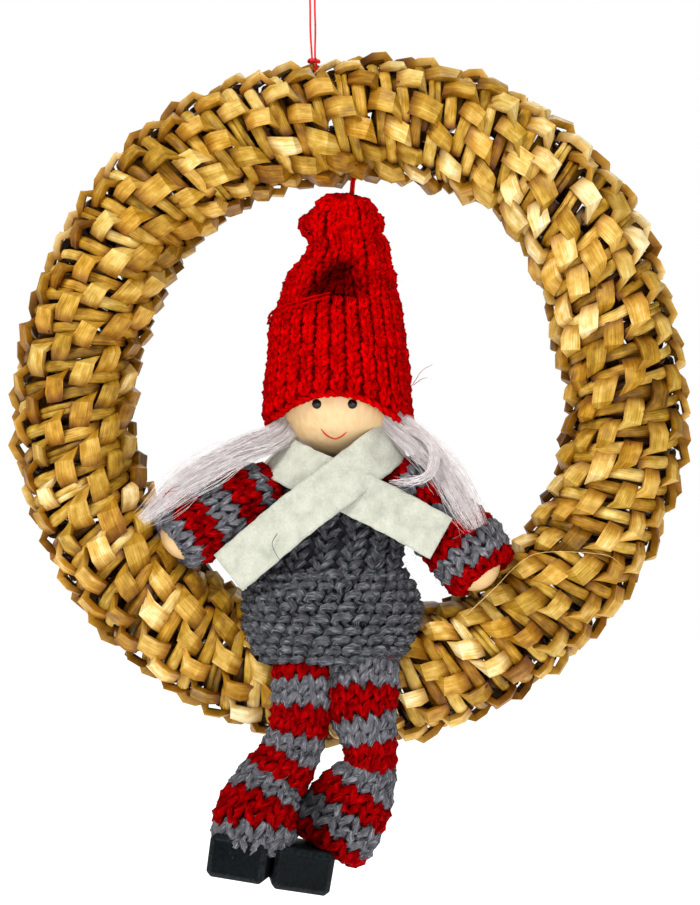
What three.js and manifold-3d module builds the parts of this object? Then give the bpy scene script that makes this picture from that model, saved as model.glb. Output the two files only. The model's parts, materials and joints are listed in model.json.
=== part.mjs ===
// Straw ring ornament with a knitted doll sitting in it.
// A tube of plaited straw is bent into an upright ring. A doubled red thread passes down through
// the top of the ring and carries a doll in a knitted cap, a felt scarf, a sweater and trousers,
// whose arms rest on the ring and whose legs hang in front of it.
//
// Units are millimetres and +Z is up. The ring stands in the XZ plane and the doll faces -Y.
// Left and right are the sides seen from the front, left being -X. All shapes are laid out around
// the middle of the ring, and the whole group is moved so that the origin is at the top of the
// hanging loop.

import * as THREE from 'three';
import { mergeVertices } from 'three/addons/utils/BufferGeometryUtils.js';
import Module from 'manifold-3d';

const wasm = await Module();
wasm.setup();

// ---------------------------------------------------------------- driving dimensions

const GAP = 0.3; // between neighbouring pieces
const TURN = 2 * Math.PI;

// The ring is a closed plait. Its folds form chains that run across the tube like stairs. From one
// fold to the next a chain goes one column round the tube, and a part of the way to the next chain.
const RING = {
  radius: 78,
  tube: 15.7,
  relief: 0.9,
  chains: 42,
  rowsPerChain: 3,
  columns: 14,
  slant: 6 / 14,
  // The ring isn't quite round. It bulges where the two ends of the plait are joined and at its
  // base, and is flatter at the sides. Angles go anticlockwise from the right, in degrees. The
  // waist is where the joined ends make the tube thinner.
  waist: { angle: 54, spread: 9, rise: -1.3 },
  bends: {
    joint: { angle: 55, spread: 24, rise: 3.5 },
    rightFlat: { angle: 14, spread: 14, rise: -2.0 },
    leftFlat: { angle: 160, spread: 22, rise: -1.8 },
    base: { angle: 268, spread: 36, rise: 2.2 },
    thread: { angle: 96, spread: 6, rise: -1.7 },
  },
};
const RING_SKIN = RING.tube + RING.relief + GAP; // smooth tube that clears every fold

// The hanging thread is doubled. The list is the middle line of the pair from the cap to the top
// of the loop: x, z and half the distance between the two strands.
const THREAD = {
  diameter: 0.56,
  sides: 8,
  steps: 54,
  channel: { radius: 1.2, below: 6, above: 3 },
  route: [
    [0.5, 56.6, 0.45],
    [0.7, 59.5, 0.42],
    [1.1, 63.8, 0.42],
    [-2.5, 73.3, 0.42],
    [-6.3, 83.4, 0.42],
    [-10.1, 93.4, 0.42],
    [-10.3, 97.0, 0.45],
    [-10.4, 103.0, 0.75],
    [-10.5, 109.0, 0.62],
    [-10.6, 115.0, 0.75],
    [-10.6, 119.5, 1.3],
    [-10.6, 122.4, 1.45],
    [-10.6, 123.6, 0.85],
  ],
  top: [-10.6, 124.0],
};
const KNOT = { middle: [-10.1, 0, 94.3], size: [2.2, 1.9, 1.0] };

const HEAD = { middle: [-3.6, -3, 0], radius: 16.8 };

// Sections of the cap from its rolled brim to the tuft: height, middle x, half width, half depth.
const CAP = {
  columns: 32,
  rows: 15,
  ribs: 16,
  ribHeight: 0.35,
  middleY: -2.4,
  // The brim is arched over the face, and hangs lower on the right.
  archHeight: 8.4,
  archReach: 0.4,
  brimTilt: 1.0,
  sections: [
    [-8.6, -3.2, 19.0, 18.6],
    [-6.0, -3.3, 20.6, 20.2],
    [-1.0, -3.4, 20.4, 19.8],
    [5.0, -3.4, 20.0, 19.2],
    [12.0, -3.5, 19.3, 18.2],
    [20.5, -3.6, 18.7, 16.4],
    [27.0, -3.0, 17.6, 13.8],
    [34.0, -2.4, 15.2, 10.8],
    [39.0, -1.2, 11.8, 8.4],
    [42.6, -0.8, 9.3, 6.6],
    [46.0, -1.4, 10.5, 7.6],
    [50.0, -2.2, 10.4, 7.4],
    [53.6, -1.8, 7.4, 5.8],
    [55.6, -0.8, 3.2, 2.8],
  ],
  hollow: { x: -2.0, z: 31.4, wide: 4.6, high: 3.6, deep: 4.5 },
};

// Sections of the sweater from its hem to the neck: height, middle x, half width, middle y,
// half depth. The wide rolled hem hangs down in front of the ring.
const SWEATER = {
  columns: 24,
  rows: 12,
  ribs: 12,
  ribHeight: 0.3,
  hemTop: -51,
  sections: [
    [-72.0, -5.6, 16.0, -21.0, 9.6],
    [-70.0, -5.6, 20.0, -18.2, 13.4],
    [-65.6, -5.4, 23.0, -13.8, 16.4],
    [-60.5, -5.2, 24.6, -10.6, 17.0],
    [-55.5, -5.2, 24.6, -8.8, 16.4],
    [-51.0, -5.2, 22.6, -7.4, 14.2],
    [-47.0, -5.4, 20.2, -6.4, 12.6],
    [-40.0, -4.6, 20.2, -5.4, 12.2],
    [-31.0, -3.7, 19.6, -4.6, 11.4],
    [-24.0, -3.6, 16.4, -4.2, 10.0],
    [-19.4, -3.6, 10.0, -3.4, 8.0],
  ],
};

// Sleeves: points x, y, z and the radius there.
const SLEEVES = {
  left: [
    [-21.0, -5.5, -24.5, 8.6],
    [-27.4, -7.8, -27.4, 9.6],
    [-35.6, -10.8, -31.6, 10.2],
    [-43.8, -13.4, -36.8, 10.0],
    [-48.4, -15.0, -40.2, 9.4],
  ],
  right: [
    [12.6, -5.0, -22.5, 8.0],
    [18.6, -6.6, -27.0, 8.8],
    [25.2, -9.0, -34.6, 10.6],
    [31.8, -11.6, -43.2, 11.4],
    [36.2, -13.2, -48.8, 10.8],
  ],
};
const SLEEVE_MESH = { columns: 12, rows: 8 };

// The hands are wooden balls that rest on the inner edge of the ring.
const HANDS = {
  radius: 7.4,
  left: [-44.6, -12.8, -37.4],
  right: [34.0, -10.9, -46.0],
};

// Trouser legs: points x, y, z, half width and half depth.
const LEGS = {
  left: [
    [-12.9, -16.5, -65.0, 7.9, 5.4],
    [-12.9, -22.2, -73.0, 8.2, 7.0],
    [-13.2, -25.0, -85.0, 8.3, 7.8],
    [-15.8, -25.4, -95.5, 8.1, 8.4],
    [-21.4, -27.0, -104.4, 9.8, 9.6],
    [-25.4, -30.2, -112.4, 11.6, 11.2],
    [-27.4, -32.4, -121.8, 10.8, 11.4],
  ],
  right: [
    [3.8, -16.5, -65.0, 8.8, 5.4],
    [3.7, -22.2, -73.0, 9.2, 7.0],
    [3.9, -25.2, -85.0, 9.0, 8.0],
    [4.8, -25.2, -95.0, 7.8, 8.2],
    [3.6, -24.8, -101.5, 8.9, 8.4],
    [-0.4, -25.4, -109.0, 11.2, 9.8],
    [-6.4, -27.4, -119.4, 11.0, 10.2],
  ],
};
const LEG_MESH = { columns: 12, rows: 12 };

// Shoes are chamfered wooden blocks. Tilt is the turn about Y, in degrees.
const SHOE = { width: 15.8, depth: 19, height: 11.5, bevel: 1.6 };
const SHOES = {
  left: { middle: [-28.2, -32.5, -122.2], tilt: 7.5, toeOut: -10 },
  right: { middle: [-13.2, -29.6, -125.8], tilt: 9.5, toeOut: 6 },
};

// The scarf is one flat strip. Points x, y, z and the way it faces: 0 front, 90 right, 180 back.
const SCARF = {
  width: 12.7,
  thick: 1.1,
  steps: 36,
  route: [
    [-33.0, -19.6, -48.0, -12, 0],
    [-24.6, -21.6, -40.8, -8, 0],
    [-14.4, -21.8, -32.2, -3, 4],
    [-3.6, -21.4, -24.0, 0, 8],
    [4.8, -18.2, -17.6, 14, 14],
    [10.4, -11.8, -13.2, 44, 22],
    [12.9, -2.6, -11.8, 90, 28],
    [9.0, 8.0, -12.4, 140, 24],
    [-3.6, 12.0, -13.0, 180, 18],
    [-16.4, 7.6, -14.0, 225, 30],
    [-20.6, -3.0, -15.2, 270, 42],
    [-17.6, -12.4, -17.6, 318, 30],
    [-8.8, -18.4, -21.8, 350, 12],
    [0.6, -20.2, -26.0, 360, 4],
    [12.4, -21.6, -31.8, 364, 0],
    [24.7, -22.4, -38.6, 368, 0],
  ],
};

// Locks of hair lie over the arms. Points x, y, z, half width and half thickness.
const HAIR = {
  left: [
    [-20.4, -9.4, -10.6, 3.2, 2.0],
    [-29.2, -12.8, -14.8, 4.6, 2.2],
    [-39.6, -17.4, -21.4, 5.0, 2.0],
    [-48.8, -20.4, -28.0, 4.0, 1.8],
    [-55.4, -21.4, -33.6, 1.6, 1.2],
  ],
  right: [
    [14.2, -9.0, -10.6, 3.2, 2.0],
    [20.2, -11.6, -15.0, 4.6, 2.2],
    [26.4, -15.6, -21.4, 4.8, 2.0],
    [32.2, -19.8, -28.6, 4.4, 1.8],
    [36.0, -23.0, -34.8, 2.0, 1.2],
  ],
};
const HAIR_MESH = { columns: 8, rows: 7 };

// Limbs and locks are rounded off over a stretch of their length, down to a flat spot.
const LIMB_END = { stretch: 0.16, flat: 0.05 };

const COLOUR = {
  straw: 0xd3a84f, red: 0xc40a0c, grey: 0x5d5d63, stripes: 0x8f2a2e, felt: 0xe8e7da,
  wood: 0xe6c496, hair: 0xd2c9c9, black: 0x14191c,
};

// ---------------------------------------------------------------- shared geometry

// A smooth bump of a given rise and spread about a middle angle, all angles in degrees.
function bell(angle, { angle: middle, spread, rise }) {
  const away = ((angle - middle + 540) % 360) - 180;
  return rise * Math.exp(-((away / spread) ** 2));
}

function ringRadius(turn) {
  const angle = THREE.MathUtils.radToDeg(turn);
  return Object.values(RING.bends).reduce((sum, bend) => sum + bell(angle, bend), RING.radius);
}

// Smooth value between the rows of a table of sections, t running from 0 to 1 over all rows.
function along(rows, t) {
  const at = t * (rows.length - 1);
  const k = Math.min(Math.floor(at), rows.length - 2);
  const f = at - k;
  const row = (i) => rows[THREE.MathUtils.clamp(i, 0, rows.length - 1)];
  return rows[k].map((value, n) => {
    const slopeHere = (row(k + 1)[n] - row(k - 1)[n]) / 2;
    const slopeNext = (row(k + 2)[n] - value) / 2;
    const rise = row(k + 1)[n] - value;
    const bend = f * f * (3 * rise - 2 * slopeHere - slopeNext);
    return value + f * slopeHere + bend + f * f * f * (slopeHere + slopeNext - 2 * rise);
  });
}

// Leaves only merged positions, and turns the faces outwards.
function cleaned(geometry) {
  geometry.deleteAttribute('normal');
  geometry.deleteAttribute('uv');
  const merged = mergeVertices(geometry, 1e-4);
  const corner = [0, 1, 2].map(() => new THREE.Vector3());
  let volume = 0;
  for (let i = 0; i < merged.index.count; i += 3) {
    corner.forEach((point, n) => {
      point.fromBufferAttribute(merged.attributes.position, merged.index.getX(i + n));
    });
    volume += corner[0].dot(corner[1].clone().cross(corner[2]));
  }
  if (volume < 0) {
    const flipped = Array.from(merged.index.array).reverse();
    merged.setIndex(flipped);
  }
  return merged;
}

// A sphere pulled into shape. place(t, angle, pole) gives a point: t runs from 0 to 1 over the
// rings of points, and pole is -1 or 1 at the single points that close the two ends.
function warpedSphere(columns, rows, place) {
  const sphere = new THREE.SphereGeometry(1, columns, rows);
  const { position, uv } = sphere.attributes;
  for (let i = 0; i < position.count; i += 1) {
    const row = Math.round(uv.getY(i) * rows);
    const t = THREE.MathUtils.clamp((row - 1) / (rows - 2), 0, 1);
    const pole = Number(row === rows) - Number(row === 0);
    const column = Math.round(uv.getX(i) * columns) % columns;
    const point = place(t, (TURN * column) / columns, pole);
    position.setXYZ(i, point.x, point.y, point.z);
  }
  return cleaned(sphere);
}

// How much of its full girth a limb has at t: it is rounded off over a stretch at both ends, where
// a flat spot is left.
function fullness(t) {
  const { stretch, flat } = LIMB_END;
  const near = (Math.min(t, 1 - t) + flat) / (stretch + flat);
  return near >= 1 ? 1 : Math.sqrt(1 - (1 - near) ** 2);
}

function asSolid(geometry) {
  const vertProperties = new Float32Array(geometry.attributes.position.array);
  const triVerts = new Uint32Array(geometry.index.array);
  return new wasm.Manifold(new wasm.Mesh({ numProp: 3, vertProperties, triVerts }));
}

function asGeometry(solid) {
  const mesh = solid.getMesh();
  const geometry = new THREE.BufferGeometry();
  geometry.setAttribute('position', new THREE.BufferAttribute(mesh.vertProperties, 3));
  geometry.setIndex(new THREE.BufferAttribute(mesh.triVerts, 1));
  return geometry;
}

// The geometry with every one of the cutters taken away.
function cutBy(geometry, ...cutters) {
  const solid = cutters.reduce((rest, cutter) => rest.subtract(asSolid(cutter)), asSolid(geometry));
  const largest = solid.decompose().sort((a, b) => b.volume() - a.volume())[0];
  return asGeometry(largest);
}

// ---------------------------------------------------------------- ring

// The plaited tube: its radius is given by a function of the row and column of the fold.
function ringTube(rows, columns, tubeRadius) {
  const torus = new THREE.TorusGeometry(RING.radius, RING.tube, columns, rows);
  const { position, uv } = torus.attributes;
  for (let i = 0; i < position.count; i += 1) {
    const row = Math.round(uv.getX(i) * rows) % rows;
    const column = Math.round(uv.getY(i) * columns) % columns;
    const turn = (TURN * row) / rows;
    const roll = (TURN * column) / columns;
    const tube = tubeRadius(row, column) + bell(THREE.MathUtils.radToDeg(turn), RING.waist);
    const reach = ringRadius(turn) + tube * Math.cos(roll);
    position.setXYZ(i, reach * Math.cos(turn), tube * Math.sin(roll), reach * Math.sin(turn));
  }
  return cleaned(torus);
}

function foldHeight(row, column) {
  const phase = row / RING.rowsPerChain - RING.slant * column;
  return RING.tube + RING.relief * Math.cos(TURN * phase);
}

// A plain tube that clears every fold, to keep the doll's pieces off the ring.
const ringEnvelope = () => ringTube(42, 14, () => RING_SKIN / Math.cos(Math.PI / 14));

// ---------------------------------------------------------------- thread

function threadPoints() {
  const strand = (side) => THREAD.route.map(([x, z, spread]) => (
    new THREE.Vector3(x + side * spread, 0, z)
  ));
  const top = new THREE.Vector3(THREAD.top[0], 0, THREAD.top[1]);
  return [...strand(-1), top, ...strand(1).reverse()];
}

function threadTube() {
  const section = new THREE.Shape();
  section.absarc(0, 0, THREAD.diameter / 2, 0, TURN, false);
  const curve = new THREE.CatmullRomCurve3(threadPoints(), false, 'centripetal');
  const tube = new THREE.ExtrudeGeometry(section, {
    steps: THREAD.steps, curveSegments: THREAD.sides / 2, extrudePath: curve, bevelEnabled: false,
  });
  return cleaned(tube);
}

// The slanting hole that the pair of strands takes through the straw.
function threadChannel() {
  const ends = [THREAD.route[2], THREAD.route[5]].map(([x, z]) => new THREE.Vector3(x, 0, z));
  const way = ends[1].clone().sub(ends[0]).normalize();
  const { radius, below, above } = THREAD.channel;
  const bottom = ends[0].clone().addScaledVector(way, -below);
  const top = ends[1].clone().addScaledVector(way, above);
  const rod = new THREE.CylinderGeometry(radius, radius, bottom.distanceTo(top), 10);
  rod.applyQuaternion(new THREE.Quaternion().setFromUnitVectors(new THREE.Vector3(0, 1, 0), way));
  const middle = bottom.add(top).multiplyScalar(0.5);
  return cleaned(rod.translate(middle.x, middle.y, middle.z));
}

function threadKnot() {
  const [x, y, z] = KNOT.middle;
  const lump = new THREE.SphereGeometry(1, 10, 6).scale(...KNOT.size).translate(x, y, z);
  const { radius } = THREAD.channel;
  const hole = new THREE.CylinderGeometry(radius, radius, 4 * KNOT.size[2], 10);
  hole.rotateX(Math.PI / 2).translate(x, y, z);
  return cutBy(cleaned(lump), cleaned(hole), ringEnvelope());
}

// ---------------------------------------------------------------- doll

const ball = (radius, [x, y, z], columns, rows) => cleaned(
  new THREE.SphereGeometry(radius, columns, rows).rotateX(Math.PI / 2).translate(x, y, z),
);

function capShape(grow) {
  const { hollow } = CAP;
  return warpedSphere(CAP.columns, CAP.rows, (t, angle, pole) => {
    const [height, middle, halfWidth, halfDepth] = along(CAP.sections, t);
    const frontness = Math.max(0, -Math.sin(angle));
    const lift = 1 - THREE.MathUtils.smoothstep(t, 0, CAP.archReach);
    const arch = CAP.archHeight * frontness ** 2 - CAP.brimTilt * Math.cos(angle);
    const rib = CAP.ribHeight * Math.cos(CAP.ribs * angle);
    const open = 1 - Math.abs(pole);
    const x = middle + open * (halfWidth + rib + grow) * Math.cos(angle);
    const z = height + open * arch * lift + grow * (t === 0 ? -1 : Number(t === 1));
    const away = ((x - hollow.x) / hollow.wide) ** 2 + ((z - hollow.z) / hollow.high) ** 2;
    const dent = hollow.deep * Math.exp(-away) * frontness;
    const y = CAP.middleY + open * (halfDepth + rib + grow) * Math.sin(angle);
    return new THREE.Vector3(x, y + dent, z);
  });
}

function sweaterShape(grow) {
  return warpedSphere(SWEATER.columns, SWEATER.rows, (t, angle, pole) => {
    const [height, middleX, halfWidth, middleY, halfDepth] = along(SWEATER.sections, t);
    const rib = height > SWEATER.hemTop ? SWEATER.ribHeight * Math.cos(SWEATER.ribs * angle) : 0;
    const open = 1 - Math.abs(pole);
    return new THREE.Vector3(
      middleX + open * (halfWidth + rib + grow) * Math.cos(angle),
      middleY + open * (halfDepth + rib + grow) * Math.sin(angle),
      height + grow * (t === 0 ? -1 : Number(t === 1)),
    );
  });
}

// A soft limb or lock along a line of points: the last one or two numbers are its half widths.
function limbShape(points, { columns, rows }, grow) {
  const line = new THREE.CatmullRomCurve3(points.map(([x, y, z]) => new THREE.Vector3(x, y, z)));
  const front = new THREE.Vector3(0, -1, 0);
  return warpedSphere(columns, rows, (t, angle, pole) => {
    const [, , , wide, thick = wide] = along(points, t);
    const middle = line.getPoint(t);
    const way = line.getTangent(t);
    const side = new THREE.Vector3().crossVectors(way, front).normalize();
    const out = new THREE.Vector3().crossVectors(side, way).normalize();
    const reach = fullness(t) * (1 - Math.abs(pole));
    return middle
      .addScaledVector(side, reach * (wide + grow) * Math.cos(angle))
      .addScaledVector(out, reach * (thick + grow) * Math.sin(angle))
      .addScaledVector(way, pole * grow);
  });
}

function scarfShape(grow) {
  const points = SCARF.route.map(([x, y, z]) => new THREE.Vector3(x, y, z));
  const line = new THREE.CatmullRomCurve3(points);
  const strip = new THREE.BoxGeometry(1, 1, 1, 1, 1, SCARF.steps);
  const { position } = strip.attributes;
  for (let i = 0; i < position.count; i += 1) {
    const t = position.getZ(i) + 0.5;
    const [facing, tilt] = along(SCARF.route, t).slice(3).map(THREE.MathUtils.degToRad);
    const flat = Math.cos(tilt);
    const out = new THREE.Vector3(Math.sin(facing) * flat, -Math.cos(facing) * flat, Math.sin(tilt));
    const way = line.getTangent(t);
    const across = new THREE.Vector3().crossVectors(way, out).normalize();
    const face = new THREE.Vector3().crossVectors(across, way).normalize();
    const point = line.getPoint(t)
      .addScaledVector(across, position.getX(i) * (SCARF.width + 2 * grow))
      .addScaledVector(face, position.getY(i) * (SCARF.thick + 2 * grow));
    position.setXYZ(i, point.x, point.y, point.z);
  }
  return cleaned(strip);
}

function shoeShape(grow) {
  const { width, depth, height, bevel } = SHOE;
  const halfWidth = width / 2 - bevel + grow;
  const halfHeight = height / 2 - bevel + grow;
  const outline = new THREE.Shape()
    .moveTo(-halfWidth, -halfHeight)
    .lineTo(halfWidth, -halfHeight)
    .lineTo(halfWidth, halfHeight)
    .lineTo(-halfWidth, halfHeight);
  return new THREE.ExtrudeGeometry(outline, {
    depth: depth - 2 * bevel + 2 * grow, bevelSize: bevel, bevelThickness: bevel, bevelSegments: 1,
  }).translate(0, 0, -(depth / 2 - bevel + grow)).rotateX(Math.PI / 2);
}

function placedShoe({ middle, tilt, toeOut }, grow) {
  return cleaned(
    shoeShape(grow)
      .rotateZ(THREE.MathUtils.degToRad(toeOut))
      .rotateY(THREE.MathUtils.degToRad(tilt))
      .translate(...middle),
  );
}

function trousersShape() {
  const [left, right] = [LEGS.left, LEGS.right].map((leg) => asSolid(limbShape(leg, LEG_MESH, 0)));
  return asGeometry(left.add(right));
}

// ---------------------------------------------------------------- the ornament

const ornament = new THREE.Group();
ornament.position.set(-THREAD.top[0], 0, -THREAD.top[1]);

function addPiece(name, geometry, color, roughness) {
  const piece = new THREE.Mesh(geometry, new THREE.MeshStandardMaterial({ color, roughness }));
  piece.name = name;
  ornament.add(piece);
}

const ring = ringTube(RING.chains * RING.rowsPerChain, RING.columns, foldHeight);
addPiece('straw_ring', cutBy(ring, threadChannel()), COLOUR.straw, 0.5);
addPiece('hanging_thread', threadTube(), COLOUR.red, 0.8);
addPiece('thread_knot', threadKnot(), COLOUR.red, 0.8);
addPiece('head', ball(HEAD.radius, HEAD.middle, 18, 10), COLOUR.wood, 0.4);

// The rooms for the balls have few facets, so they are a little larger to clear them.
const headRoom = () => ball(HEAD.radius + GAP + 0.8, HEAD.middle, 14, 8);
addPiece('hat', cutBy(capShape(0), headRoom()), COLOUR.red, 0.95);

addPiece('sweater', cutBy(sweaterShape(0), headRoom(), ringEnvelope()), COLOUR.grey, 0.95);
addPiece('scarf', cutBy(scarfShape(0), headRoom(), capShape(GAP)), COLOUR.felt, 0.9);

for (const side of ['left', 'right']) {
  addPiece(`hand_${side}`, ball(HANDS.radius, HANDS[side], 12, 8), COLOUR.wood, 0.5);
  const handRoom = ball(HANDS.radius + GAP + 0.3, HANDS[side], 10, 6);
  const sleeve = limbShape(SLEEVES[side], SLEEVE_MESH, 0);
  const sleeveParts = [handRoom, sweaterShape(GAP), ringEnvelope(), scarfShape(GAP)];
  addPiece(`sleeve_${side}`, cutBy(sleeve, ...sleeveParts), COLOUR.stripes, 0.95);
  const lock = limbShape(HAIR[side], HAIR_MESH, 0);
  const sleeveRoom = limbShape(SLEEVES[side], SLEEVE_MESH, GAP + 0.1);
  const lockCutters = [sleeveRoom, scarfShape(GAP), capShape(GAP), headRoom()];
  addPiece(`hair_${side}`, cutBy(lock, ...lockCutters), COLOUR.hair, 0.7);
}

const shoeRooms = [placedShoe(SHOES.left, GAP), placedShoe(SHOES.right, GAP)];
const trousers = cutBy(trousersShape(), sweaterShape(GAP), ringEnvelope(), ...shoeRooms);
addPiece('trousers', trousers, COLOUR.stripes, 0.95);
addPiece('shoe_left', placedShoe(SHOES.left, 0), COLOUR.black, 0.3);
addPiece('shoe_right', cutBy(placedShoe(SHOES.right, 0), shoeRooms[0]), COLOUR.black, 0.3);

export default ornament;
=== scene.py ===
"""A straw ring ornament with a knitted doll sitting in it, hung on a doubled red thread.

Every shape is worked out in millimetres around the middle of the ring, with +Z up and the doll
facing -Y. It is moved into the frame, in metres, when its mesh is made. Left and right are the
sides seen from the front, left being -X.
"""
import json
import logging
import math
from dataclasses import dataclass, field
from enum import Enum
from typing import Any, Callable, Optional, Sequence

import bpy
import numpy as np
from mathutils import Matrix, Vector

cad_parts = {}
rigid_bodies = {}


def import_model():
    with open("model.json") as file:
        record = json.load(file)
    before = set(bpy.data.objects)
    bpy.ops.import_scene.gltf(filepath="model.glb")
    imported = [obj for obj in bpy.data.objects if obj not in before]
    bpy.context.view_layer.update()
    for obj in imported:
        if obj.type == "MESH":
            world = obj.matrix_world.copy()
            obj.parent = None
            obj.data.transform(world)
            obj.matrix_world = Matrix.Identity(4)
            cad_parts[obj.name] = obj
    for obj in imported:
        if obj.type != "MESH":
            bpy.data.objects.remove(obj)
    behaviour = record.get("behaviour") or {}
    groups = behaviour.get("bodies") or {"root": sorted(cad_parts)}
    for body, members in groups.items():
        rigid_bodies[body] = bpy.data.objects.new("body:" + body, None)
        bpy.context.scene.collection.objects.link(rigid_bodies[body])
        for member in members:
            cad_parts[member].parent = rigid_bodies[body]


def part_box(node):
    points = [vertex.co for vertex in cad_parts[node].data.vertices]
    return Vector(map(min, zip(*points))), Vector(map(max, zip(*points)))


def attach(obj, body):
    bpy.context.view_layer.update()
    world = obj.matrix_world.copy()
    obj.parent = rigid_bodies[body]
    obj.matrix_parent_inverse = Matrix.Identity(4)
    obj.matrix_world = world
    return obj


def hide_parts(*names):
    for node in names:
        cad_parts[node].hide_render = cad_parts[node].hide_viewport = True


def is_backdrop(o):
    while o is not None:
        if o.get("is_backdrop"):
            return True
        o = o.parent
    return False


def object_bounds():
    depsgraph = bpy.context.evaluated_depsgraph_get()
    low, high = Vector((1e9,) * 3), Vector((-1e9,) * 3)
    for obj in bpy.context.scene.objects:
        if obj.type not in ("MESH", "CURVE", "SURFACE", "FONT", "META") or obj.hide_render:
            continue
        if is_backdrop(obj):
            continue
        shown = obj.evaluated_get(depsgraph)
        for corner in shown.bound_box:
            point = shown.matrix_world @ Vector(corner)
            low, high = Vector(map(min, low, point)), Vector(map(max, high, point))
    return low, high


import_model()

LOG = logging.getLogger("ornament")
MM = 0.001
TURN = 2 * math.pi
FRONT = np.array([0.0, -1.0, 0.0])
HEAD_MIDDLE = np.array([-3.6, -3.0, 0.0])  # from the middle of the ring

Array = np.ndarray
Random = np.random.Generator
Spot = tuple[float, float, float]
Table = tuple[tuple[float, ...], ...]
Rows = Sequence[Sequence[float]]
Piece = bpy.types.Object
Material = bpy.types.Material
Tree = bpy.types.NodeTree
Socket = bpy.types.NodeSocket

# The middle of the ring in the frame, in millimetres, found from the head.
RING_MIDDLE = np.mean(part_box("head"), axis=0) / MM - HEAD_MIDDLE


# ---- lines and sections


def along(rows: Rows, t: Array) -> Array:
    """Follows a table of sections on one smooth curve.

    Args:
        rows: The sections, one row of numbers each.
        t: How far along, from 0 at the first row to 1 at the last.

    Returns:
        One row of numbers for each value of t.
    """
    table = np.asarray(rows, float)
    last = len(table) - 1
    place = np.clip(t, 0, 1) * last
    i = np.minimum(place.astype(int), last - 1)
    f = (place - i)[..., None]
    before = np.where((i > 0)[..., None], table[np.maximum(i - 1, 0)], 2 * table[i] - table[i + 1])
    after_row = table[np.minimum(i + 2, last)]
    after = np.where((i < last - 1)[..., None], after_row, 2 * table[i + 1] - table[i])
    slope_in = (table[i + 1] - before) / 2
    slope_out = (after - table[i]) / 2
    gap = table[i + 1] - table[i]
    return table[i] + slope_in * f + (3 * gap - 2 * slope_in - slope_out) * f**2 + (
        slope_in + slope_out - 2 * gap) * f**3


def unit(vectors: Array) -> Array:
    """Vectors of length 1 in the same directions."""
    return vectors / np.maximum(np.linalg.norm(vectors, axis=-1, keepdims=True), 1e-9)


def bell(value: Array, middle: float, spread: float, rise: float) -> Array:
    """A smooth bump of a given rise and spread about a middle."""
    return rise * np.exp(-(((value - middle) / spread) ** 2))


def smooth_step(value: Array, low: float, high: float) -> Array:
    """0 below low, 1 above high, and a smooth rise between them."""
    t = np.clip((value - low) / (high - low), 0, 1)
    return t * t * (3 - 2 * t)


def apart(angle: Array, middle: float) -> Array:
    """The turn in degrees from one angle to others, between -180 and 180."""
    return (angle - middle + 180) % 360 - 180


def wander(rng: Random, t: Array, waves: float, size: float) -> Array:
    """A gentle random curve.

    Args:
        rng: The random numbers.
        t: The places at which it is wanted.
        waves: How many waves there are in a unit of t.
        size: How far it strays to either side, roughly.

    Returns:
        Its value at each place.
    """
    total = np.zeros_like(t, dtype=float)
    for octave in (1.0, 1.7, 2.9):
        phase = rng.uniform(0, TURN)
        total = total + np.sin(TURN * waves * octave * t + phase) / octave
    return total * size / 1.6


class Spine:
    """A table of sections, followed at an even pace."""

    SAMPLES = 500

    def __init__(self, rows: Rows, paced_by: Sequence[int]) -> None:
        """Measures the line.

        Args:
            rows: The sections.
            paced_by: The columns whose change is the distance travelled.
        """
        self.rows = rows
        self.steps = np.linspace(0, 1, self.SAMPLES)
        travelled = along(rows, self.steps)[:, list(paced_by)]
        gaps = np.linalg.norm(np.diff(travelled, axis=0), axis=1)
        distance = np.concatenate([[0.0], np.cumsum(gaps)])
        self.length = float(distance[-1])
        self.pace = distance / self.length

    def at(self, v: Array) -> Array:
        """The section at each share v of the length."""
        return along(self.rows, np.interp(v, self.pace, self.steps))

    def way(self, v: Array, step: float) -> Array:
        """The direction of the line at each share of the length, over a step to either side."""
        ahead, behind = self.at(np.clip(v + step, 0, 1)), self.at(np.clip(v - step, 0, 1))
        return unit(ahead[..., :3] - behind[..., :3])

    def axes(self, v: Array, step: float) -> tuple[Array, Array]:
        """The ways across the line, to the side and out of the front.

        Args:
            v: The shares of the length.
            step: How far it looks to either side.

        Returns:
            The two directions.
        """
        way = self.way(v, step)
        side = unit(np.cross(way, FRONT))
        return side, np.cross(side, way)

    def share(self, column: int, value: float) -> float:
        """The share of the length at which a rising column reaches a value."""
        return float(np.interp(value, along(self.rows, self.steps)[:, column], self.pace))


# ---- meshes


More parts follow.
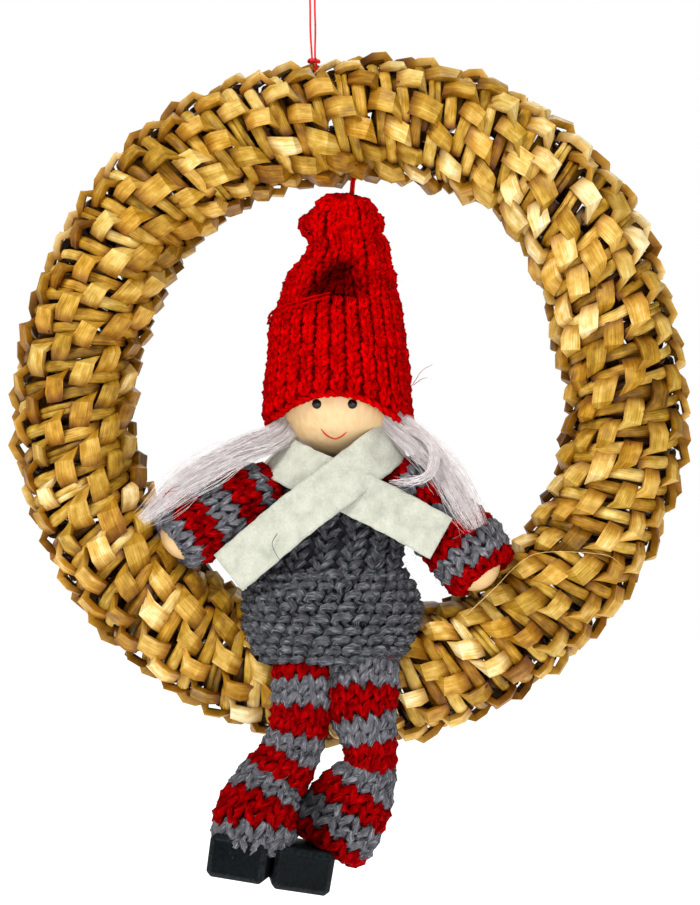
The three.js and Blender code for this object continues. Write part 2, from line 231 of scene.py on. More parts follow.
@dataclass
class Sketch:
    """The points, faces and marks of one mesh, in millimetres round the middle of the ring."""

    points: Array
    faces: list[Sequence[int]] = field(default_factory=list)
    edges: list[Sequence[int]] = field(default_factory=list)
    uv: Optional[Array] = None
    marks: dict[str, Array] = field(default_factory=dict)

    @classmethod
    def line(cls, points: Array, closed: bool = False, **marks: Any) -> "Sketch":
        """Draws a line through points.

        Args:
            points: Where it goes.
            closed: Whether it ends where it starts.
            marks: Its marks, each one number or a number for each point.

        Returns:
            The line.
        """
        ids = np.arange(len(points))
        ends = (ids, np.roll(ids, -1)) if closed else (ids[:-1], ids[1:])
        full = {key: np.zeros(len(points)) + value for key, value in marks.items()}
        return cls(points, edges=np.stack(ends, -1).tolist(), marks=full)

    @classmethod
    def together(cls, parts: Sequence["Sketch"]) -> "Sketch":
        """Makes one sketch of several that have the same marks.

        Args:
            parts: The sketches.

        Returns:
            All of them as one.
        """
        shifts = np.cumsum([0] + [len(part.points) for part in parts]).tolist()
        faces = [[i + shift for i in f] for part, shift in zip(parts, shifts) for f in part.faces]
        edges = [[i + shift for i in e] for part, shift in zip(parts, shifts) for e in part.edges]
        marks = {key: np.concatenate([part.marks[key] for part in parts]) for key in parts[0].marks}
        uv = None if parts[0].uv is None else np.concatenate([part.uv for part in parts])
        return cls(np.concatenate([part.points for part in parts]), faces, edges, uv, marks)

    def mesh(self, name: str, in_place: bool = True, crisp: float = 180.0) -> bpy.types.Mesh:
        """Makes the mesh.

        Args:
            name: Its name.
            in_place: Whether it is moved to its place in the frame.
            crisp: The angle in degrees above which an edge stays sharp.

        Returns:
            The mesh, in metres.
        """
        points = (self.points + (RING_MIDDLE if in_place else 0)) * MM
        mesh = bpy.data.meshes.new(name)
        mesh.from_pydata(points.tolist(), [list(e) for e in self.edges], [list(f) for f in self.faces])
        if self.uv is not None:
            layer = mesh.uv_layers.new(name="UVMap")
            loops = np.empty(len(mesh.loops), np.int32)
            mesh.loops.foreach_get("vertex_index", loops)
            layer.data.foreach_set("uv", self.uv[loops].astype(np.float32).ravel())
        for key, values in self.marks.items():
            kind = "FLOAT_VECTOR" if values.ndim == 2 else "FLOAT"
            mark = mesh.attributes.new(key, kind, "POINT")
            slot = "vector" if values.ndim == 2 else "value"
            mark.data.foreach_set(slot, values.astype(np.float32).ravel())
        mesh.shade_smooth()
        if crisp < 180:
            mesh.set_sharp_from_angle(angle=math.radians(crisp))
        mesh.update()
        return mesh


def shown(data: bpy.types.ID, name: str, finish: Optional[Material] = None) -> Piece:
    """Puts a mesh, curve, lamp or camera into the scene, at the origin.

    Args:
        data: The mesh, curve, lamp or camera.
        name: The name of the object.
        finish: Its material, if it has one.

    Returns:
        The object.
    """
    piece = bpy.data.objects.new(name, data)
    bpy.context.scene.collection.objects.link(piece)
    if finish is not None:
        data.materials.clear()
        data.materials.append(finish)
    return piece


def baked(piece: Piece) -> bpy.types.Mesh:
    """A piece's mesh as its modifiers make it.

    Args:
        piece: The piece.

    Returns:
        The new mesh.
    """
    bpy.context.view_layer.update()
    made = piece.evaluated_get(bpy.context.evaluated_depsgraph_get())
    return bpy.data.meshes.new_from_object(made)


def lattice(rows: int, columns: int, wrap: bool) -> list[tuple[int, int, int, int]]:
    """The four-cornered faces of a net of points, joined round the columns where asked.

    Args:
        rows: How many rows of points there are.
        columns: How many points are in a row.
        wrap: Whether the last column joins the first.

    Returns:
        The faces.
    """
    across = columns if wrap else columns - 1
    return [
        (r * columns + c, r * columns + (c + 1) % columns,
         (r + 1) * columns + (c + 1) % columns, (r + 1) * columns + c)
        for r in range(rows - 1) for c in range(across)
    ]


def slab_faces(rows: int, columns: int, flip: bool) -> list[tuple[int, ...]]:
    """The faces of a net, of a second net under it, and of the rim between them.

    Args:
        rows: How many rows of points each net has.
        columns: How many points are in a row.
        flip: Whether to turn the faces over.

    Returns:
        The faces, with the second net's points counted after the first's.
    """
    count = rows * columns
    net = lattice(rows, columns, wrap=False)
    upper = [tuple(reversed(f)) for f in net] if flip else list(net)
    faces = upper + [tuple(i + count for i in reversed(f)) for f in upper]
    ids = np.arange(count).reshape(rows, columns)
    rim = np.concatenate([ids[:, 0], ids[-1, 1:], ids[-2::-1, -1], ids[0, -2:0:-1]]).tolist()
    for a, b in zip(rim, rim[1:] + rim[:1]):
        faces.append((b, a, a + count, b + count) if flip else (a, b, b + count, a + count))
    return faces


def lathe(place: Callable[[Array, Array], Array], rows: int, columns: int, flip: bool,
          start: float = 0.0, end: float = 1.0) -> Sketch:
    """A closed skin over a surface that runs round as well as along.

    Args:
        place: Gives the points at shares of the way round and along.
        rows: How many rings of points there are.
        columns: How many points are in a ring.
        flip: Whether to turn the faces over.
        start: The share of the length at which it starts.
        end: The share of the length at which it ends.

    Returns:
        The skin, closed by a point at each end.
    """
    v = np.linspace(start, end, rows)
    u = np.arange(columns) / columns
    grid_u, grid_v = np.meshgrid(u, v)
    points = place(grid_u.ravel(), grid_v.ravel())
    faces = lattice(rows, columns, wrap=True)
    first, last = len(points), len(points) + 1
    base = (rows - 1) * columns
    for c in range(columns):
        after = (c + 1) % columns
        faces.append((first, after, c))
        faces.append((last, base + c, base + after))
    ends = np.array([points[:columns].mean(0), points[base:].mean(0)])
    if flip:
        faces = [tuple(reversed(f)) for f in faces]
    marks = {"v": np.concatenate([grid_v.ravel(), [start, end]])}
    return Sketch(np.concatenate([points, ends]), faces, marks=marks)


# ---- node trees


class Builder:
    """A node tree under construction."""

    tree: Tree

    def node(self, kind: str, inputs: Optional[dict[Any, Any]] = None, **settings: Any) -> bpy.types.Node:
        """Adds a node.

        Args:
            kind: The node's type.
            inputs: What goes into its sockets, by name or number: a value, a socket, or a node
                for its first output.
            settings: Its other settings.

        Returns:
            The node.
        """
        node = self.tree.nodes.new(kind)
        for key, value in settings.items():
            setattr(node, key, value)
        for key, value in (inputs or {}).items():
            value = value.outputs[0] if isinstance(value, bpy.types.Node) else value
            if isinstance(value, Socket):
                self.tree.links.new(value, node.inputs[key])
            else:
                node.inputs[key].default_value = value
        return node

    def maths(self, kind: str, a: Any, b: Any, clamp: bool = False) -> Socket:
        """A sum of two numbers or sockets."""
        return self.node("ShaderNodeMath", {0: a, 1: b}, operation=kind, use_clamp=clamp).outputs[0]


class Grower(Builder):
    """A tree of geometry nodes under construction, with named inputs."""

    def __init__(self, name: str, **inputs: str) -> None:
        """Starts a tree with its geometry going in and out.

        Args:
            name: Its name.
            inputs: The kind of each further input, such as Float, Int, Object or Material.
        """
        self.tree = bpy.data.node_groups.new(name, "GeometryNodeTree")
        sockets = self.tree.interface
        sockets.new_socket("Geometry", in_out="INPUT", socket_type="NodeSocketGeometry")
        sockets.new_socket("Geometry", in_out="OUTPUT", socket_type="NodeSocketGeometry")
        for key, kind in inputs.items():
            sockets.new_socket(key, in_out="INPUT", socket_type=f"NodeSocket{kind}")
        self.source = self.tree.nodes.new("NodeGroupInput")
        self.sink = self.tree.nodes.new("NodeGroupOutput")

    def given(self, name: str) -> Socket:
        """The socket of a named input."""
        return self.source.outputs[name]

    def mark(self, name: str, kind: str = "FLOAT") -> Socket:
        """Reads a named attribute."""
        node = self.node("GeometryNodeInputNamedAttribute", {"Name": name}, data_type=kind)
        return node.outputs["Attribute"]

    def ends(self, geometry: bpy.types.Node) -> Tree:
        """Realizes the instances, sets the material and closes the tree.

        Args:
            geometry: The node that gives the geometry.

        Returns:
            The tree.
        """
        real = self.node("GeometryNodeRealizeInstances", {"Geometry": geometry})
        dress = self.node("GeometryNodeSetMaterial", {
            "Geometry": real, "Material": self.given("Material")})
        self.tree.links.new(dress.outputs[0], self.sink.inputs[0])
        return self.tree


def grow(source: bpy.types.Mesh, tree: Tree, name: str, **inputs: Any) -> Piece:
    """Runs a tree over a mesh and keeps the result as a plain mesh.

    Args:
        source: The mesh that the tree starts from.
        tree: The tree.
        name: The name of the new piece.
        inputs: The tree's inputs, by name, with _ for a space.

    Returns:
        The new piece, at the origin.
    """
    seedling = shown(source, name + "_source")
    modifier = seedling.modifiers.new("grow", "NODES")
    modifier.node_group = tree
    for item in tree.interface.items_tree:
        key = item.name.replace(" ", "_")
        if item.in_out == "INPUT" and key in inputs:
            modifier[item.identifier] = inputs[key]
    mesh = baked(seedling)
    mesh.name = name
    seedling.modifiers.clear()
    bpy.data.objects.remove(seedling)
    return shown(mesh, name)


def sweep_tree() -> Tree:
    """A tree that runs a lobed section, like plies of yarn, along every line of a mesh.

    Returns:
        The tree.
    """
    g = Grower("yarn_sweep", Plies="Int", Radius="Float", Groove="Float", Twist="Float",
               Material="Material")
    curve = g.node("GeometryNodeMeshToCurve", {"Mesh": g.given("Geometry")})
    turned = g.maths("MULTIPLY", g.mark("run"), g.given("Twist"))
    tilted = g.node("GeometryNodeSetCurveTilt", {"Curve": curve, "Tilt": turned})
    inner = g.maths("MULTIPLY", g.given("Radius"), g.given("Groove"))
    section = g.node("GeometryNodeCurveStar", {
        "Points": g.given("Plies"), "Inner Radius": inner, "Outer Radius": g.given("Radius")})
    where = g.node("GeometryNodeSplineParameter")
    marked = g.node("GeometryNodeStoreNamedAttribute", {
        "Geometry": section, "Name": "around", "Value": where.outputs["Factor"]})
    tube = g.node("GeometryNodeCurveToMesh", {
        "Curve": tilted, "Profile Curve": marked, "Scale": g.mark("girth"), "Fill Caps": True})
    smooth = g.node("GeometryNodeSetShadeSmooth", {"Geometry": tube})
    return g.ends(smooth)


def scatter_tree() -> Tree:
    """A tree that scatters fibres over a surface, each leaning its own way.

    Returns:
        The tree.
    """
    g = Grower("fibre_scatter", Fibre="Object", Density="Float", Seed="Int", Lean="Float",
               Shortest="Float", Longest="Float", Material="Material")
    dots = g.node("GeometryNodeDistributePointsOnFaces", {
        "Mesh": g.given("Geometry"), "Density": g.given("Density"), "Seed": g.given("Seed")})
    fibre = g.node("GeometryNodeObjectInfo", {"Object": g.given("Fibre")})
    back = g.maths("MULTIPLY", g.given("Lean"), -1.0)
    low = g.node("ShaderNodeCombineXYZ", {0: back, 1: back, 2: -math.pi})
    high = g.node("ShaderNodeCombineXYZ", {0: g.given("Lean"), 1: g.given("Lean"), 2: math.pi})
    lean = g.node("FunctionNodeRandomValue", {"Min": low, "Max": high, "Seed": g.given("Seed")},
                  data_type="FLOAT_VECTOR")
    turn = g.node("FunctionNodeEulerToRotation", {0: lean})
    rotation = g.node("FunctionNodeRotateRotation", {
        "Rotation": dots.outputs["Rotation"], "Rotate By": turn}, rotation_space="LOCAL")
    size = g.node("FunctionNodeRandomValue", {
        2: g.given("Shortest"), 3: g.given("Longest"), 8: g.given("Seed")}, data_type="FLOAT")
    placed = g.node("GeometryNodeInstanceOnPoints", {
        "Points": dots.outputs["Points"], "Instance": fibre.outputs["Geometry"],
        "Rotation": rotation, "Scale": size.outputs[1]})
    return g.ends(placed)


def plait_tree() -> Tree:
    """A tree that lays one of several straws at each point, turned to the point's own axes.

    Returns:
        The tree.
    """
    g = Grower("plait", Straws="Collection", Seed="Int", Unevenness="Float", Material="Material")
    straws = g.node("GeometryNodeCollectionInfo", {
        "Collection": g.given("Straws"), "Separate Children": True, "Reset Children": True})
    axes = g.node("FunctionNodeAxesToRotation", {
        "Primary Axis": g.mark("out", "FLOAT_VECTOR"), "Secondary Axis": g.mark("along", "FLOAT_VECTOR")},
        primary_axis="Z", secondary_axis="X")
    loose = g.maths("MULTIPLY", g.mark("loose"), g.given("Unevenness"))
    spread = g.node("FunctionNodeRandomValue", {
        "Min": (-1.0, -1.0, -1.0), "Max": (1.0, 1.0, 1.0), "Seed": g.given("Seed")},
        data_type="FLOAT_VECTOR")
    lean = g.node("ShaderNodeVectorMath", {0: spread, "Scale": loose}, operation="SCALE")
    turn = g.node("FunctionNodeEulerToRotation", {0: lean})
    rotation = g.node("FunctionNodeRotateRotation", {
        "Rotation": axes, "Rotate By": turn}, rotation_space="LOCAL")
    laid = g.node("GeometryNodeInstanceOnPoints", {
        "Points": g.given("Geometry"), "Instance": straws, "Pick Instance": True,
        "Instance Index": g.mark("variant", "INT"), "Rotation": rotation,
        "Scale": g.mark("size", "FLOAT_VECTOR")})
    return g.ends(laid)


# ---- finishes


def linear(code: str) -> tuple[float, float, float, float]:
    """The scene colour of a six-figure colour code.

    Args:
        code: The code.

    Returns:
        Red, green, blue and alpha.
    """
    parts = [int(code[i:i + 2], 16) / 255 for i in (0, 2, 4)]
    values = [c / 12.92 if c <= 0.04045 else ((c + 0.055) / 1.055) ** 2.4 for c in parts]
    return (values[0], values[1], values[2], 1.0)


class Painter(Builder):
    """A surface material under construction."""

    def __init__(self, name: str, **shader: Any) -> None:
        """Starts a material.

        Args:
            name: Its name.
            shader: Constant values of the shader's sockets, with _ for a space.
        """
        self.material = bpy.data.materials.new(name)
        self.material.use_nodes = True
        self.tree = self.material.node_tree
        self.shader = next(n for n in self.tree.nodes if n.type == "BSDF_PRINCIPLED")
        for key, value in shader.items():
            self.shader.inputs[key.replace("_", " ")].default_value = value

    def mark(self, name: str) -> Socket:
        """Reads a named attribute of the mesh as a number."""
        return self.node("ShaderNodeAttribute", attribute_name=name).outputs["Fac"]

    def places(self, uv: bool = False, stretch: Spot = (1, 1, 1), shift: Optional[Socket] = None) -> Socket:
        """The places that a pattern is drawn on.

        Args:
            uv: Whether they are the piece's own UV map, and not its place in the object.
            stretch: How much finer the pattern is each way.
            shift: A number that moves the pattern, to make each copy of a piece its own.

        Returns:
            The socket with the places.
        """
        where = self.node("ShaderNodeTexCoord").outputs["UV" if uv else "Object"]
        mapped = self.node("ShaderNodeMapping", {"Vector": where, "Scale": stretch}).outputs[0]
        if shift is None:
            return mapped
        return self.node("ShaderNodeVectorMath", {0: mapped, 1: shift}, operation="ADD").outputs[0]

    def noise(self, where: Socket, scale: float, detail: float = 3.0) -> Socket:
        """A cloudy pattern between 0 and 1."""
        node = self.node("ShaderNodeTexNoise", {"Vector": where, "Scale": scale, "Detail": detail})
        return node.outputs["Fac"]

    def spread(self, value: Socket, low: float, high: float, to_low: float, to_high: float) -> Socket:
        """A number stretched from the range low to high to the range to_low to to_high."""
        return self.node("ShaderNodeMapRange", {"Value": value, "From Min": low, "From Max": high,
                                                "To Min": to_low, "To Max": to_high}).outputs[0]

    def ramp(self, value: Socket, stops: Sequence[tuple[float, str]]) -> Socket:
        """Colours that follow a number, given as places and colour codes.

        Args:
            value: The number.
            stops: The places, in rising order, and their codes.

        Returns:
            The colour.
        """
        node = self.node("ShaderNodeValToRGB", {"Fac": value})
        band = node.color_ramp
        while len(band.elements) < len(stops):
            band.elements.new(0.5)
        for element, (place, code) in zip(band.elements, stops):
            element.position = place
            element.color = linear(code)
        return node.outputs[0]

    def mix(self, kind: str, amount: Any, a: Any, b: Any) -> Socket:
        """Two colours mixed."""
        node = self.node("ShaderNodeMix", {0: amount, 6: a, 7: b}, data_type="RGBA", blend_type=kind)
        return node.outputs[2]

    def shades(self, colour: Socket, value: Socket, low: float, high: float) -> Socket:
        """A colour made darker and lighter by a number between 0 and 1."""
        level = self.spread(value, 0, 1, low, high)
        return self.mix("MULTIPLY", 1.0, colour, level)

    def bump(self, height: Socket, depth: float, strength: float = 1.0) -> None:
        """Gives the surface fine relief, depth metres deep."""
        node = self.node("ShaderNodeBump", {"Height": height, "Distance": depth, "Strength": strength})
        self.tree.links.new(node.outputs[0], self.shader.inputs["Normal"])

    def colour(self, colour: Socket) -> None:
        """Sets the colour."""
        self.tree.links.new(colour, self.shader.inputs["Base Color"])

    def rough(self, value: Socket) -> None:
        """Sets the roughness."""
        self.tree.links.new(value, self.shader.inputs["Roughness"])


@dataclass(frozen=True)
class StrawFinish:
    """Dried, folded straw, streaked lengthwise and satin, with painted shade where the mark shade is low.
    """

    name: str = "plaited_straw"
    warm: tuple[tuple[float, str], ...] = (
        (0.0, "4E2C02"), (0.25, "825206"), (0.5, "B08016"), (0.75, "D8AC4C"), (1.0, "F8E4AC"))
    pale: tuple[tuple[float, str], ...] = (
        (0.0, "543A06"), (0.25, "86620F"), (0.5, "B8932F"), (0.75, "DEC274"), (1.0, "FCF2CC"))

    def material(self) -> Material:
        """Makes the material.

        Returns:
            The material.
        """
        p = Painter(self.name, Roughness=0.42, Specular_IOR_Level=0.25)
        tone = p.mark("tone")
        shift = p.maths("MULTIPLY", tone, 57.0)
        streak, fine, blotch = (
            p.noise(p.places(True, (along_it, across_it, 1.0), shift), 1.0, detail)
            for along_it, across_it, detail in ((0.09, 3.2, 4.0), (0.2, 9.0, 2.0), (0.3, 0.4, 3.0)))
        wide = p.spread(streak, 0.3, 0.7, -0.12, 0.12)
        patch = p.spread(blotch, 0.3, 0.7, -0.16, 0.16)
        level = p.maths("ADD", p.maths("ADD", tone, wide), patch, clamp=True)
        kind = p.maths("FRACT", p.maths("MULTIPLY", tone, 91.7), 0.0)
        colour = p.mix("MIX", kind, p.ramp(level, self.warm), p.ramp(level, self.pale))
        colour = p.shades(colour, fine, 0.88, 1.12)
        # painted shade: the mark shade darkens the straw towards brown
        colour = p.mix("MULTIPLY", 1.0, colour, p.ramp(p.mark("shade"), (
            (0.0, "4A2C0A"), (0.3, "A8844C"), (0.7, "F0E4C8"), (1.0, "FFFFFF"))))
        p.colour(colour)
        p.rough(p.spread(streak, 0.3, 0.7, 0.32, 0.55))
        p.bump(p.maths("ADD", streak, p.maths("MULTIPLY", fine, 0.5)), 0.00012, 0.8)
        return p.material


@dataclass(frozen=True)
class YarnFinish:
    """Soft spun yarn. Its colour goes from plain to accent by the mark tint."""

    name: str
    plain: str
    plain_deep: str
    plain_fleck: str
    accent: str = "A80206"
    accent_deep: str = "4E0001"
    accent_fleck: str = "C8141A"
    fleck: float = 0.45

    def material(self) -> Material:
        """Makes the material.

        Returns:
            The material.
        """
        p = Painter(self.name, Roughness=0.95, Specular_IOR_Level=0.06)
        shine = p.mix("MIX", p.mark("tint"), linear("FFFFFF"), linear("FF2010"))
        p.tree.links.new(shine, p.shader.inputs["Specular Tint"])
        cloud = p.noise(p.places(), 420.0, 3.0)
        run = p.mark("run")
        slant = p.maths("MULTIPLY", run, 0.1)
        lane = p.maths("MULTIPLY", p.maths("ADD", p.mark("around"), slant), 13.0)
        place = p.node("ShaderNodeCombineXYZ", {0: p.maths("MULTIPLY", run, 0.42), 1: lane}).outputs[0]
        hairs = p.noise(place, 1.0, 3.0)
        tint = p.mark("tint")
        both = p.maths("ADD", p.maths("MULTIPLY", cloud, 0.5), p.maths("MULTIPLY", hairs, 0.5))
        light = p.spread(hairs, 0.54, 0.68, 0.0, self.fleck)
        plain = p.ramp(both, ((0.36, self.plain_deep), (0.6, self.plain)))
        plain = p.mix("MIX", light, plain, linear(self.plain_fleck))
        accent = p.ramp(both, ((0.36, self.accent_deep), (0.6, self.accent)))
        accent = p.mix("MIX", p.maths("MULTIPLY", light, 0.4), accent, linear(self.accent_fleck))
        colour = p.mix("MIX", tint, plain, accent)
        p.colour(p.shades(colour, p.mark("light"), 0.0, 1.0))
        p.bump(hairs, 0.0005, 0.8)
        return p.material


@dataclass(frozen=True)
class FeltFinish:
    """Pale pressed felt, mottled and matt."""

    name: str = "scarf_felt"

    def material(self) -> Material:
        """Makes the material.

        Returns:
            The material.
        """
        p = Painter(self.name, Roughness=0.95, Specular_IOR_Level=0.2, Sheen_Weight=0.3,
                    Sheen_Roughness=0.6)
        where = p.places()
        cloud = p.noise(where, 260.0, 5.0)
        grain = p.noise(where, 1500.0, 4.0)
        colour = p.ramp(cloud, ((0.3, "A9AB9E"), (0.5, "BABCAE"), (0.7, "C4C6B8")))
        p.colour(p.shades(colour, grain, 0.8, 1.14))
        p.bump(p.maths("ADD", grain, cloud), 0.0005, 0.9)
        return p.material


@dataclass(frozen=True)
class WoodFinish:
    """Turned pale wood under a thin varnish."""

    name: str
    light: str = "DCBC8C"
    dark: str = "C99E68"

    def material(self) -> Material:
        """Makes the material.

        Returns:
            The material.
        """
        p = Painter(self.name, Roughness=0.42, Specular_IOR_Level=0.4, Coat_Weight=0.15,
                    Coat_Roughness=0.3, Subsurface_Weight=0.08, Subsurface_Scale=0.002)
        grain = p.noise(p.places(stretch=(1.0, 1.0, 0.12)), 700.0, 4.0)
        cloud = p.noise(p.places(), 90.0, 2.0)
        both = p.maths("ADD", p.maths("MULTIPLY", grain, 0.45), p.maths("MULTIPLY", cloud, 0.55))
        p.colour(p.ramp(both, ((0.3, self.dark), (0.55, self.light))))
        p.bump(grain, 0.00004, 0.5)
        return p.material


@dataclass(frozen=True)
class PaintFinish:
    """Dark paint on wood, a little rubbed along the edges."""

    name: str = "shoe_paint"
    body: str = "040608"
    rubbed: str = "1A1F21"

    def material(self) -> Material:
        """Makes the material.

        Returns:
            The material.
        """
        p = Painter(self.name, Roughness=0.5, Specular_IOR_Level=0.04)
        where = p.places()
        scuff = p.noise(where, 1100.0, 4.0)
        cloud = p.noise(where, 160.0, 3.0)
        edge = p.maths("MULTIPLY", p.mark("edge"), p.spread(scuff, 0.35, 0.6, 0.25, 1.0), clamp=True)
        colour = p.mix("MIX", edge, linear(self.body), linear(self.rubbed))
        p.colour(p.shades(colour, cloud, 0.8, 1.3))
        p.rough(p.spread(cloud, 0.3, 0.7, 0.36, 0.5))
        p.bump(p.maths("ADD", scuff, cloud), 0.00001, 0.4)
        return p.material


@dataclass(frozen=True)
class HairFinish:
    """Fine pale fibre that lets some light through."""

    name: str = "pale_hair"

    def material(self) -> Material:
        """Makes the material.

        Returns:
            The material.
        """
        p = Painter(self.name, Roughness=0.5, Specular_IOR_Level=0.4, Sheen_Weight=0.3,
                    Sheen_Roughness=0.4)
        tone = p.noise(p.places(), 500.0, 2.0)
        colour = p.ramp(tone, ((0.3, "E2D7D8"), (0.5, "EFE7E8"), (0.7, "F9F4F4")))
        p.colour(p.shades(colour, p.mark("light"), 0.0, 1.0))
        return p.material


@dataclass(frozen=True)
class GlossFinish:
    """A smooth glossy coating in one colour, mottled a little."""

    name: str
    body: str
    deep: str
    roughness: float = 0.12

    def material(self) -> Material:
        """Makes the material.

        Returns:
            The material.
        """
        p = Painter(self.name, Roughness=self.roughness, Specular_IOR_Level=0.3, Coat_Weight=0.1,
                    Coat_Roughness=0.08)
        cloud = p.noise(p.places(), 1500.0, 2.0)
        p.colour(p.ramp(cloud, ((0.35, self.deep), (0.6, self.body))))
        p.bump(cloud, 0.00002, 0.3)
        return p.material


# ---- the straw ring


@dataclass(frozen=True)
class Bend:
    """A place where the ring stands in or out, by angle in degrees."""

    angle: float
    spread: float
    rise: float


@dataclass
class StrawRing:
    """A tube of plaited straw, bent round until its two ends meet at the upper right.

    The folded straws form chains that run across the tube like stairs. Between them the straws
    run round the tube, from a fold of one chain to the fold two places on in the next.
    """

    radius: float = 78.0
    tube: float = 15.3
    bends: tuple[Bend, ...] = (Bend(55, 24, 3.5), Bend(14, 14, -2.0), Bend(160, 22, -1.8),
                               Bend(268, 36, 2.2), Bend(96, 6, -1.7))
    waist: Bend = Bend(54, 9, -1.3)
    folds_round: int = 14
    slant: float = 6 / 14
    chains: int = 42
    twist: int = 3
    seam: float = 52.0
    first_roll: float = 3.85
    straw_width: float = 3.0
    fold_kinds: int = 16
    fold_thick: float = 1.9
    fold_crisp: float = 24.0  # degrees above which an edge stays sharp
    fold_unevenness: float = 0.13
    stalk_splits: tuple[int, ...] = (1, 1, 1, 1, 1, 1, 1, 1, 2)
    stalk_length: float = 11.8
    stalk_depths: tuple[float, float] = (1.2, 3.6)  # of the outer and the inner layer
    stalk_ahead: float = 0.9  # from its fold, along the ring
    stalk_drop: float = 6.8  # from its fold, round the tube
    stalk_tilt: float = 10.0
    stalk_crisp: float = 60.0
    stalk_unevenness: float = 0.035
    seed: int = 11

    def reach(self, angle: Array) -> Array:
        """The distance from the ring's middle to the tube's, at an angle in degrees."""
        bumps = (bell(apart(angle, bend.angle), 0.0, bend.spread, bend.rise) for bend in self.bends)
        return sum(bumps, np.full_like(angle, self.radius, dtype=float))

    def place(self, angle: Array, roll: Array, depth: Array) -> tuple[Array, Array, Array]:
        """Places points on the tube.

        Args:
            angle: The angle round the ring, in degrees, anticlockwise from the right.
            roll: The angle round the tube, in degrees: 0 outside, -90 in front, 180 inside.
            depth: The distance from the tube's middle line.

        Returns:
            The points, the ways out of the tube, and the ways clockwise along the ring.
        """
        a, r = np.radians(angle), np.radians(roll)
        tube = depth + bell(apart(angle, self.waist.angle), 0, self.waist.spread, self.waist.rise)
        flat = np.stack([np.cos(a), np.zeros_like(a), np.sin(a)], -1)
        side = np.array([0.0, 1.0, 0.0])
        out = flat * np.cos(r)[..., None] + side * np.sin(r)[..., None]
        points = flat * self.reach(angle)[..., None] + out * tube[..., None]
        way = np.stack([np.sin(a), np.zeros_like(a), -np.cos(a)], -1)
        return points, out, way

    def folds(self) -> dict[str, Array]:
        """Where the folds lie: their angles, rolls and how loosely they are worked.

        Returns:
            The angles, the rolls and the looseness, by name.
        """
        turns = self.chains + self.slant * self.twist
        angles, rolls = [], []
        for j in range(self.folds_round):
            first = math.ceil(-self.slant * j)
            for i in range(first, first + self.chains + 2):
                share = (i + self.slant * j - 0.05) / turns
                if 0 <= share < 1:
                    angles.append(self.seam - 360 * share)
                    step = 360 / self.folds_round
                    rolls.append(self.first_roll - step * j + step * self.twist * share)
        angle, roll = np.array(angles), np.array(rolls)
        loose = 1 + bell(apart(angle, 45), 0, 26, 1.2)
        return {"angle": angle, "roll": roll, "loose": loose}

    def fold_shape(self, rng: Random) -> Sketch:
        """One folded straw: a flat band that rises to a crease and is tucked in at both ends.

        Each row below is one line across the band: x and y at its inner edge, x and y at its outer
        edge, and its height.

        Args:
            rng: The random numbers.

        Returns:
            Its closed shape.
        """
        big = rng.uniform(0.95, 1.14)
        taper = rng.uniform(0.7, 1.25)
        rise = rng.uniform(1.3, 2.5)
        low, high = rng.uniform(1.4, 2.6), rng.uniform(2.2, 3.4)
        tip = rng.uniform(0.3, 1.3)
        skew = rng.uniform(-0.6, 0.6)
        rows = np.array([
            (-3.0, -2.0, -3.2, 2.0, -2.6), (-3.8, -2.5 + skew, -4.0, 2.6, -0.9),
            (-1.2, -3.1, -1.4, 2.5, 0.4 + 0.45 * rise), (low, -3.5, high, 1.5, 0.2 + rise),
            (4.3 + tip, -4.3 - 0.5 * tip, 3.7, 1.1 - 1.6 * taper, -0.9),
            (3.0, -2.8, 2.6, 0.4 - 1.0 * taper, -2.6)]) * big
        strands = np.array([-1.0, -0.4, 0.4, 1.0])
        q = np.tile(strands, (len(rows), 1))
        share = (q + 1) / 2
        x = rows[:, 0:1] * (1 - share) + rows[:, 2:3] * share
        y = rows[:, 1:2] * (1 - share) + rows[:, 3:4] * share
        flat = np.array([0, 1, 1, 1, 1, 0])[:, None]
        hollow = rng.uniform(-0.5, 0.7)
        z = rows[:, 4:5] + flat * (hollow * (1 - q**2) + rng.uniform(-0.6, 0.25) * q)
        z = z + flat * rng.normal(0, 0.05, z.shape)
        top = np.stack([x, y, z], -1).reshape(-1, 3)
        middle = (rows[:, 1:2] + rows[:, 3:4]) / 2
        deep = np.maximum(z - self.fold_thick, -3.1)
        under = np.stack([x * 0.84, middle + (y - middle) * 0.72, deep], -1)
        drift = rng.uniform(0, 40)
        uv = np.stack([((x + 4.0) / 8.5).ravel() * 8.5, q.ravel() * 3 + drift], -1)
        count, columns = q.shape
        # painted shade: darker at the tucked ends, along the edges and underneath
        shade = np.interp(np.arange(count), [0, 1, 2, 3, count - 2, count - 1], [0, 0.3, 0.85, 1, 0.7, 0])
        shade = np.repeat(shade, columns) * (1 - 0.25 * q.ravel() ** 8)
        return Sketch(np.concatenate([top, under.reshape(-1, 3)]), slab_faces(count, columns, True),
                      uv=np.concatenate([uv, uv]), marks={"shade": np.concatenate([shade, shade * 0.6])})

